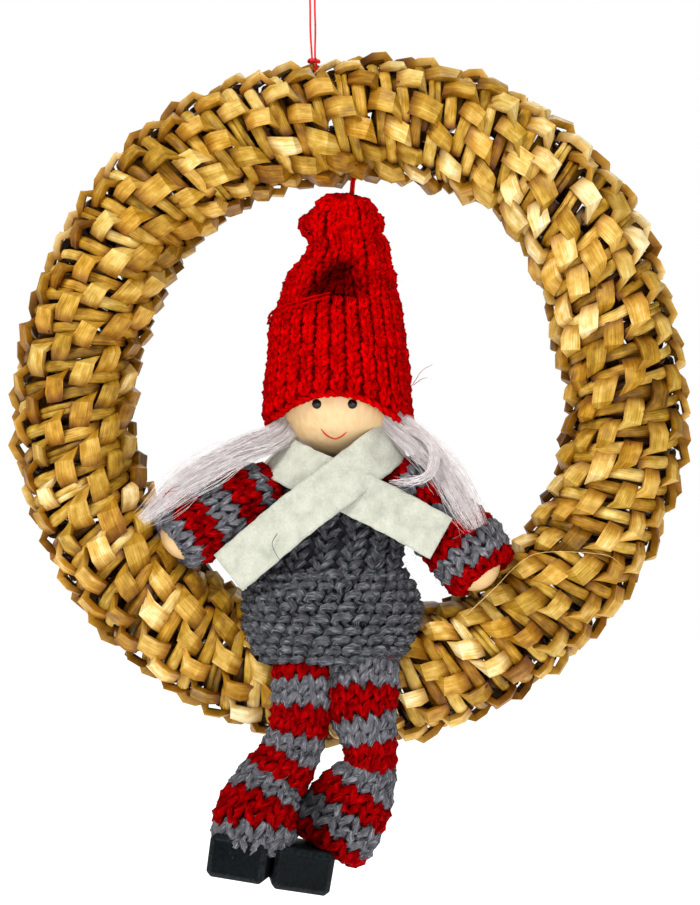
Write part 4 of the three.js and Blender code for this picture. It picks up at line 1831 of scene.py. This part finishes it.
@dataclass
class Head:
    """A wooden ball with two black bead eyes and a thin red mouth."""

    radius: float = 16.8
    eyes: tuple[tuple[float, float], ...] = ((-9.1, -2.1), (0.7, -2.1))
    eye_radius: float = 1.42
    mouth: tuple[tuple[float, float], ...] = (
        (-7.9, -8.9), (-6.3, -10.6), (-4.2, -11.5), (-2.4, -10.9), (-0.9, -9.7))

    def on_face(self, x: Array, z: Array, lift: float) -> Array:
        """Points on the front of the ball, above given places.

        Args:
            x: How far right they are.
            z: How far up they are.
            lift: How far above the ball they are.

        Returns:
            The points.
        """
        across, up = x - HEAD_MIDDLE[0], z - HEAD_MIDDLE[2]
        deep = np.sqrt(self.radius**2 - across**2 - up**2)
        away = unit(np.stack([across, -deep, up], -1))
        return HEAD_MIDDLE + away * (self.radius + lift)

    def build(self, yarn: Yarn, wood: Material, bead: Material, red: Material) -> None:
        """Makes the ball, the eyes and the mouth.

        Args:
            yarn: What spins the mouth.
            wood: The ball's material.
            bead: The eyes' material.
            red: The mouth's material.
        """
        ball = shown(ball_sketch(self.radius, HEAD_MIDDLE, 48, 96).mesh("head_ball"), "head_ball", wood)
        settle(ball, "face_wood", "head")
        eyes = Sketch.together([
            ball_sketch(self.eye_radius, self.on_face(np.array(x), np.array(z), -0.45), 16, 28)
            for x, z in self.eyes])
        settle(shown(eyes.mesh("eyes"), "eyes", bead), "black_paint")
        t = np.linspace(0, 1, 40)
        line = along(self.mouth, t)
        points = self.on_face(line[:, 0], line[:, 1], 0.02)
        girth = np.clip(8 * np.minimum(t, 1 - t), 0.5, 1)
        lips = Sketch.line(points, girth=girth, run=t, tint=1, light=1)
        settle(yarn.spun("mouth", lips, 0.62, red), "red_thread")


@dataclass
class Hair:
    """Two locks of fine pale fibre that come out from under the brim.

    A row is a point on the lock's middle line, its half width and its half thickness.
    """

    left: Table = (
        (-15.2, -5.6, -3.4, 2.0, 1.6), (-19.4, -11.4, -10.2, 2.8, 2.2),
        (-28.8, -16.4, -14.2, 3.2, 2.4), (-36.8, -19.4, -18.6, 3.6, 2.2),
        (-44.2, -21.4, -23.0, 3.3, 2.0), (-50.9, -22.4, -28.6, 2.4, 1.6),
        (-56.6, -22.8, -33.6, 1.2, 1.0))
    right: Table = (
        (9.6, -10.6, -4.8, 2.4, 2.0), (14.0, -11.6, -8.4, 3.0, 2.2),
        (19.8, -14.2, -13.8, 3.4, 2.4), (25.6, -17.6, -20.4, 3.6, 2.2),
        (30.2, -21.0, -27.4, 3.2, 2.0), (34.4, -23.8, -35.6, 1.8, 1.2))
    curl: Table = (
        (15.0, -12.6, -8.6, 1.0, 1.0), (19.6, -17.8, -10.6, 0.9, 0.9), (22.4, -21.0, -13.8, 0.8, 0.8),
        (22.6, -22.4, -18.4, 0.8, 0.8), (20.6, -22.8, -21.8, 0.8, 0.8), (16.4, -23.0, -23.2, 0.7, 0.7),
        (10.6, -23.4, -23.4, 0.5, 0.5))
    strands: int = 330
    clumps: int = 19
    steps: int = 13
    fibre: float = 0.12
    clumped: float = 0.75  # how far the strands gather in clumps, from 0 to 1
    short_share: float = 0.5
    loose_share: float = 0.12
    seed: int = 61

    def lock(self, rows: Rows, seed: int, count: int) -> Sketch:
        """The lines of all the strands of a lock.

        Args:
            rows: The lock's middle line and thickness.
            seed: The random seed.
            count: How many strands there are.

        Returns:
            The lines.
        """
        rng = np.random.default_rng(seed)
        spine = Spine(rows, (0, 1, 2))
        t = np.linspace(0, 1, self.steps)
        turn = rng.uniform(0, TURN, self.clumps)
        centres = np.stack([np.cos(turn), np.sin(turn)], -1) * np.sqrt(rng.random(self.clumps))[:, None]
        lines = []
        for number in range(count):
            clump = number % self.clumps
            a = rng.uniform(0, TURN)
            spot = np.array([math.cos(a), math.sin(a)]) * math.sqrt(rng.random())
            end = rng.uniform(0.62, 1.0) if rng.random() < self.short_share else rng.uniform(0.9, 1.06)
            v = np.clip(t * end, 0, 1)
            row = spine.at(v)
            side, out = spine.axes(v, 0.02)
            pull = (self.clumped * smooth_step(t, 0.1, 0.9))[:, None]
            offset = spot * (1 - pull) + centres[clump] * pull + 0.35 * rng.normal(0, 1, 2) * t[:, None]
            stray = 2.2 if rng.random() < self.loose_share else 0.8
            x = offset[:, 0] * row[:, 3] * 1.4 + wander(rng, t, 0.9, stray) * t
            y = offset[:, 1] * row[:, 4] + wander(rng, t, 0.9, 0.7) * t
            strand = row[:, :3] + side * x[:, None] + out * y[:, None]
            girth = rng.uniform(0.6, 1.2) * np.interp(t, [0, 0.8, 1], [1, 0.9, 0.35])
            lines.append(Sketch.line(strand, girth=girth, run=t * 40, light=rng.uniform(0.66, 1.08)))
        return Sketch.together(lines)

    def build(self, sweep: Tree, finish: Material) -> None:
        """Makes both locks.

        Args:
            sweep: The tree that thickens the strands.
            finish: Their material.
        """
        for number, (side, rows) in enumerate((("left", self.left), ("right", self.right))):
            strands = self.lock(rows, self.seed + number, self.strands)
            if side == "right":
                curl = self.lock(self.curl, self.seed + 7, self.strands // 6)
                strands = Sketch.together([strands, curl])
            lines = strands.mesh(f"hair_{side}_lines")
            lock = grow(lines, sweep, f"hair_{side}_lock", Plies=2, Radius=self.fibre / 2 * MM,
                        Groove=0.8, Twist=0.0, Material=finish)
            settle(lock, "hair", f"hair_{side}")


@dataclass
class Scarf:
    """One strip of felt round the neck, with its ends crossed over the chest.

    A row of the route is a point, the way that the felt faces there and how far it faces up, in
    degrees.
    """

    width: float = 12.7
    thick: float = 1.1
    route: Table = (
        (-33.0, -19.6, -48.0, -12, 0), (-24.6, -21.6, -40.8, -8, 0), (-14.4, -21.8, -32.2, -3, 4),
        (-3.6, -21.4, -24.0, 0, 8), (4.8, -18.2, -17.6, 14, 14), (10.4, -11.8, -13.2, 44, 22),
        (12.9, -2.6, -11.8, 90, 28), (9.0, 8.0, -12.4, 140, 24), (-3.6, 12.0, -13.0, 180, 18),
        (-16.4, 7.6, -14.0, 225, 30), (-20.6, -3.0, -15.2, 270, 42), (-17.6, -12.4, -17.6, 318, 30),
        (-8.8, -18.4, -21.8, 350, 12), (0.6, -20.2, -26.0, 360, 4), (12.4, -21.6, -31.8, 364, 0),
        (24.7, -22.4, -38.6, 368, 0))
    steps: int = 230
    strands: int = 21

    def build(self, yarn: Yarn, finish: Material) -> None:
        """Makes the strip, with its thickness, and its loose fibres.

        Args:
            yarn: What makes the fibres.
            finish: Its material.
        """
        rng = np.random.default_rng(71)
        spine = Spine(self.route, (0, 1, 2))
        v = np.linspace(0, 1, self.steps)
        row = spine.at(v)
        facing, tilt = np.radians(row[:, 3]), np.radians(row[:, 4])
        out = np.stack([np.sin(facing) * np.cos(tilt), -np.cos(facing) * np.cos(tilt),
                        np.sin(tilt)], -1)
        way = spine.way(v, 0.006)
        across = unit(np.cross(way, out))
        face = np.cross(across, way)
        q = np.linspace(-1, 1, self.strands)
        ragged = [wander(rng, v, 26, 0.12) for _ in range(2)]
        half = self.width / 2
        rise = sum(np.outer(wander(rng, v, w, 0.12), np.cos(k * q + k)) for k, w in ((1, 5), (3, 11)))
        offset = np.outer(np.ones(self.steps), q * half)
        offset[:, 0] += ragged[0]
        offset[:, -1] += ragged[1]
        base = row[:, None, :3] + across[:, None] * offset[..., None]
        edge = np.sqrt(np.clip(1 - q**8, 0.15, 1)) * self.thick / 2
        front = base + face[:, None] * (rise + edge)[..., None]
        back = base + face[:, None] * (rise - edge)[..., None]
        faces = slab_faces(self.steps, self.strands, flip=False)
        sketch = Sketch(np.concatenate([front.reshape(-1, 3), back.reshape(-1, 3)]), faces)
        strip = shown(sketch.mesh("scarf_felt"), "scarf_felt", finish)
        fuzz = yarn.fuzz("scarf_fuzz", strip, 0.35, finish, 15, (0.3, 0.9), 1.4)
        settle(strip, "felt", "scarf")
        settle(fuzz, "felt")


# ---- shoes


@dataclass
class Shoes:
    """Two small painted wooden blocks with bevelled edges."""

    size: Spot = (15.8, 19.0, 11.5)
    bevel: float = 1.3
    left: Spot = (-28.2, -32.5, -122.2)
    right: Spot = (-13.2, -29.6, -125.6)
    tilts: tuple[float, float] = (7.5, 9.5)
    toes: tuple[float, float] = (-10.0, 6.0)

    def block(self, middle: Sequence[float], tilt: float, toe: float) -> Sketch:
        """One block: a box whose edges are cut at a slant.

        Args:
            middle: Its middle.
            tilt: How far it leans to the right, in degrees.
            toe: How far it turns, in degrees.

        Returns:
            The block.
        """
        def point(axis: int, own: int, second: int, third: int, facing: int) -> int:
            """The number of a corner's point on one face, from the corner's sides, axis first."""
            return int(np.roll((own, second, third), axis) @ (4, 2, 1)) * 3 + facing % 3

        half = np.array(self.size) / 2
        points = []
        faces: list[Sequence[int]] = []
        for signs in np.ndindex(2, 2, 2):
            sign = np.array(signs) * 2 - 1
            for axis in range(3):
                corner = sign * (half - self.bevel)
                corner[axis] = sign[axis] * half[axis]
                points.append(corner)
        for axis in range(3):
            for side in (0, 1):
                loop = [point(axis, side, b, c, axis) for b, c in ((0, 0), (1, 0), (1, 1), (0, 1))]
                faces.append(loop if side else loop[::-1])
            for b, c in np.ndindex(2, 2):
                quad = [point(axis, own, b, c, axis + facing)
                        for own, facing in ((0, 1), (1, 1), (1, 2), (0, 2))]
                faces.append(quad if b != c else quad[::-1])
        for number, signs in enumerate(np.ndindex(2, 2, 2)):
            tri = [3 * number, 3 * number + 1, 3 * number + 2]
            faces.append(tri if sum(signs) % 2 else tri[::-1])
        x, y, z = np.array(points).T
        turn, lean = math.radians(toe), math.radians(tilt)
        x, y = x * math.cos(turn) - y * math.sin(turn), x * math.sin(turn) + y * math.cos(turn)
        x, z = x * math.cos(lean) + z * math.sin(lean), -x * math.sin(lean) + z * math.cos(lean)
        return Sketch(np.stack([x, y, z], -1) + np.array(middle), faces,
                      marks={"edge": np.zeros(len(points))})

    def build(self, paint: Material) -> None:
        """Makes both shoes.

        Args:
            paint: Their material.
        """
        for number, side in enumerate(("left", "right")):
            middle = (self.left, self.right)[number]
            block = self.block(middle, self.tilts[number], self.toes[number])
            shoe = shown(block.mesh(f"shoe_{side}_block"), f"shoe_{side}_block", paint)
            soften(shoe)
            settle(shoe, "black_paint", f"shoe_{side}")


def soften(piece: Piece) -> None:
    """Rounds a block's edges a little, and marks them as rubbed.

    Args:
        piece: The block.
    """
    bevel = piece.modifiers.new("round", "BEVEL")
    bevel.width = 0.35 * MM
    bevel.segments = 3
    bevel.limit_method = "ANGLE"
    bevel.angle_limit = math.radians(20)
    mesh = baked(piece)
    piece.modifiers.clear()
    old = piece.data
    piece.data = mesh
    bpy.data.meshes.remove(old)
    mesh.shade_smooth()
    largest = max(p.area for p in mesh.polygons)
    edge = np.ones(len(mesh.vertices))
    for polygon in mesh.polygons:
        if polygon.area > 0.2 * largest:
            edge[list(polygon.vertices)] = 0.35
    mesh.attributes["edge"].data.foreach_set("value", edge.astype(np.float32))


# ---- the hanging thread


@dataclass
class Strays:
    """Loose fibres that stand away from the clothes, each a bent line of three or more points."""

    red: tuple[tuple[Spot, ...], ...] = (
        ((15.6, -12.0, 1.2), (18.0, -13.6, 4.6), (19.8, -14.0, 7.2), (22.6, -13.4, 8.8)),
        ((17.4, -13.0, 3.2), (19.6, -13.8, 4.8), (21.2, -13.8, 5.2)),
        ((-50.4, -24.4, -27.4), (-48.2, -25.2, -25.2), (-45.6, -25.0, -24.2)),
        ((-49.8, -24.8, -26.4), (-48.4, -25.4, -25.8), (-46.6, -25.2, -25.6)))
    grey: tuple[tuple[Spot, ...], ...] = (
        ((-19.6, -23.4, -37.2), (-21.0, -23.6, -39.8), (-19.8, -23.6, -43.0), (-17.6, -23.2, -46.0)),
        ((27.6, -24.6, -38.6), (29.2, -25.2, -37.8), (30.6, -25.0, -36.6)),
        ((33.4, -24.0, -36.0), (31.0, -24.6, -38.2), (30.0, -24.2, -41.0)))
    straw: tuple[tuple[Spot, ...], ...] = (
        ((31.7, -17.6, -59.5), (39.6, -18.0, -52.0), (45.4, -17.2, -46.2), (52.3, -18.4, -42.5),
         (68.8, -19.4, -43.0), (74.3, -17.4, -46.3)),)
    diameter: float = 0.24

    def build(self, yarn: Yarn, red: Material, grey: Material, straw: Material) -> None:
        """Makes the fibres of each colour as one piece.

        Args:
            yarn: What spins them.
            red: The material of the red ones.
            grey: The material of the grey ones.
            straw: The material of the straw ones.
        """
        for name, paths, finish, slot, tint in (
                ("stray_red_fibres", self.red, red, "striped_knit", 1.0),
                ("stray_grey_fibres", self.grey, grey, "striped_knit", 0.0),
                ("stray_straw_fibre", self.straw, straw, "straw", 0.0)):
            t = np.linspace(0, 1, 24)
            girth = np.interp(t, [0, 1], [1.0, 0.5])
            lines = Sketch.together([
                Sketch.line(along(path, t), girth=girth, run=t * 8, tint=tint, light=1)
                for path in paths])
            settle(yarn.spun(name, lines, self.diameter, finish), slot)


@dataclass
class HangingThread:
    """One red thread, doubled: the loop above the ring and the pair that goes down to the cap.

    A row of the route is an x, a z and half the distance between the two strands.
    """

    diameter: float = 0.56
    route: tuple[Spot, ...] = (
        (0.5, 56.6, 0.45), (0.7, 59.5, 0.42), (1.1, 63.8, 0.42), (-2.5, 73.3, 0.42),
        (-6.3, 83.4, 0.42), (-10.1, 93.4, 0.42), (-10.3, 97.0, 0.45), (-10.4, 103.0, 0.75),
        (-10.5, 109.0, 0.62), (-10.6, 115.0, 0.75), (-10.6, 119.5, 1.3), (-10.6, 122.4, 1.45),
        (-10.6, 123.6, 0.85))
    top: tuple[float, float] = (-10.6, 124.0)
    knot: Spot = (-10.1, 0.0, 94.3)

    def knot_lines(self) -> Sketch:
        """A small tight knot and the short end that sticks out of it.

        Returns:
            The line of both.
        """
        t = np.arange(60) / 60 * TURN
        x = (np.sin(t) + 1.6 * np.sin(2 * t)) * 0.62
        y = (np.cos(t) - 1.6 * np.cos(2 * t)) * 0.52
        z = -np.sin(3 * t) * 0.3
        points = np.stack([x, y, z], -1) + np.array(self.knot)
        return Sketch.line(points, closed=True, girth=1, run=t, tint=1, light=1)

    def cord(self, finish: Material) -> tuple[Piece, Array]:
        """Makes the thread as one open curve, and gives its points in the frame.

        Args:
            finish: Its material.

        Returns:
            The thread and its points.
        """
        up = [(x - half, 0.0, z) for x, z, half in self.route]
        down = [(x + half, 0.0, z) for x, z, half in reversed(self.route)]
        points = (np.array([*up, (self.top[0], 0.0, self.top[1]), *down]) + RING_MIDDLE) * MM
        curve = bpy.data.curves.new("hanging_thread_cord", "CURVE")
        curve.dimensions = "3D"
        curve.resolution_u = 6
        curve.bevel_depth = self.diameter / 2 * MM
        curve.bevel_resolution = 3
        curve.use_fill_caps = True
        spline = curve.splines.new("NURBS")
        spline.points.add(len(points) - 1)
        for point, place in zip(spline.points, points):
            point.co = (*place, 1.0)
        spline.order_u = 3
        spline.use_endpoint_u = True
        return shown(curve, curve.name, finish), points

    def build(self, yarn: Yarn, finish: Material) -> None:
        """Makes the thread and its knot, and says what it is.

        Args:
            yarn: What spins the yarn.
            finish: Their material.
        """
        thread, points = self.cord(finish)
        knot = yarn.spun("thread_knot_coil", self.knot_lines(), 1.0, finish)
        settle(knot, "red_thread", "thread_knot")
        settle(thread, "red_thread", "hanging_thread")


# ---- the room


@dataclass
class Studio:
    """A plain pale floor, soft light and the camera, level with the middle of the ornament."""

    distance: float = 650.0
    camera_height: float = -15.3
    view_height: float = 253.4
    sensor: float = 36.0
    floor_drop: float = 190.0
    floor_half: float = 3.0  # metres
    floor_glow: float = 0.8
    sky_glow: float = 0.34
    lamps: tuple[tuple[str, Spot, float, float, Spot], ...] = (
        ("key", (-0.42, -0.75, 0.78), 0.35, 12.2, (1.0, 0.985, 0.95)),
        ("fill", (0.25, -0.95, -0.3), 0.9, 6.0, (1.0, 1.0, 1.0)),
        ("back", (0.2, 0.9, 0.5), 0.7, 4.0, (1.0, 1.0, 1.0)))

    def camera(self) -> None:
        """Makes the camera."""
        lens = bpy.data.cameras.new("camera")
        lens.sensor_width = self.sensor
        lens.lens = self.sensor * self.distance / self.view_height
        lens.clip_start = 0.01
        eye = shown(lens, "camera")
        eye.location = Vector((np.array([0.0, -self.distance, self.camera_height]) + RING_MIDDLE) * MM)
        eye.rotation_euler = (math.pi / 2, 0, 0)
        bpy.context.scene.camera = eye

    def lamp(self, name: str, place: Sequence[float], size: float, power: float, colour: Spot) -> None:
        """Adds a soft square lamp that points at the ornament.

        Args:
            name: Its name.
            place: Where it is, in metres.
            size: How wide it is, in metres.
            power: Its power, in watts.
            colour: The colour of its light.
        """
        data = bpy.data.lights.new(name, "AREA")
        data.size = size
        data.energy = power
        data.color = colour
        lamp = shown(data, name)
        lamp.location = Vector(place)
        target = Vector(RING_MIDDLE * MM)
        lamp.rotation_euler = (target - lamp.location).to_track_quat("-Z", "Y").to_euler()

    def world(self) -> None:
        """Makes the pale surroundings."""
        world = bpy.data.worlds.new("studio")
        world.use_nodes = True
        bpy.context.scene.world = world
        room = Builder()
        room.tree = world.node_tree
        room.tree.nodes.clear()
        seen, glow = (room.node("ShaderNodeBackground", {"Color": colour, "Strength": strength})
                      for colour, strength in (((1, 1, 1, 1), 1.0), ((1.0, 0.99, 0.97, 1), self.sky_glow)))
        ray = room.node("ShaderNodeLightPath")
        mix = room.node("ShaderNodeMixShader", {
            0: ray.outputs["Is Camera Ray"], 1: glow.outputs[0], 2: seen.outputs[0]})
        room.node("ShaderNodeOutputWorld", {0: mix.outputs[0]})

    def floor(self) -> None:
        """Makes the floor, well below the hanging ornament."""
        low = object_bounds()[0][2] - self.floor_drop * MM
        half = self.floor_half
        corners = [(-half, -half, low), (half, -half, low), (half, half, low), (-half, half, low)]
        mesh = bpy.data.meshes.new("floor")
        mesh.from_pydata(corners, [], [(0, 1, 2, 3)])
        paint = Painter("floor_white", Roughness=0.9, Specular_IOR_Level=0.0,
                        Emission_Strength=self.floor_glow, Emission_Color=(1.0, 1.0, 1.0, 1.0))
        cloud = paint.noise(paint.places(), 2.0)
        paint.colour(paint.ramp(cloud, ((0.3, "F6F6F5"), (0.7, "FCFCFB"))))
        shown(mesh, "floor", paint.material)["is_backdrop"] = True

    def build(self) -> None:
        """Sets the room up."""
        bpy.context.scene.view_settings.view_transform = "Standard"
        self.camera()
        self.world()
        for lamp in self.lamps:
            self.lamp(*lamp)


def main() -> None:
    """Builds the ornament piece by piece."""
    logging.basicConfig(level=logging.INFO, format="%(name)s: %(message)s")
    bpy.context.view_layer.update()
    studio = Studio()
    studio.build()
    yarn = Yarn(sweep=sweep_tree(), scatter=scatter_tree())
    red_yarn = YarnFinish("red_yarn", "6E6F76", "2E3036", "B9BBC2", "D60003", "800000").material()
    thread_red = GlossFinish("thread_red", "E0140C", "B00805", 0.5).material()
    HangingThread().build(yarn, thread_red)
    StrawRing().build(plait_tree(), StrawFinish().material())
    Head().build(yarn, WoodFinish("face_wood").material(),
                 GlossFinish("eye_bead", "0B0B0D", "050506").material(),
                 GlossFinish("mouth_red", "C8321E", "B02818", 0.4).material())
    Cap().build(yarn, red_yarn)
    grey_yarn = YarnFinish("grey_yarn", "6E6F76", "2E3036", "B9BBC2").material()
    striped_yarn = YarnFinish("striped_yarn", "74747B", "3A3B41", "B9BBC2").material()
    Sweater().build(yarn, grey_yarn, striped_yarn, WoodFinish("hand_wood", "E2BF8A", "C99B5C").material())
    Trousers().build(yarn, striped_yarn)
    Hair().build(yarn.sweep, HairFinish().material())
    Scarf().build(yarn, FeltFinish().material())
    Shoes().build(PaintFinish().material())
    Strays().build(yarn, red_yarn, grey_yarn, WoodFinish("pale_straw", "D8B878", "B08C48").material())
    studio.floor()


if __name__ == "__main__":
    main()
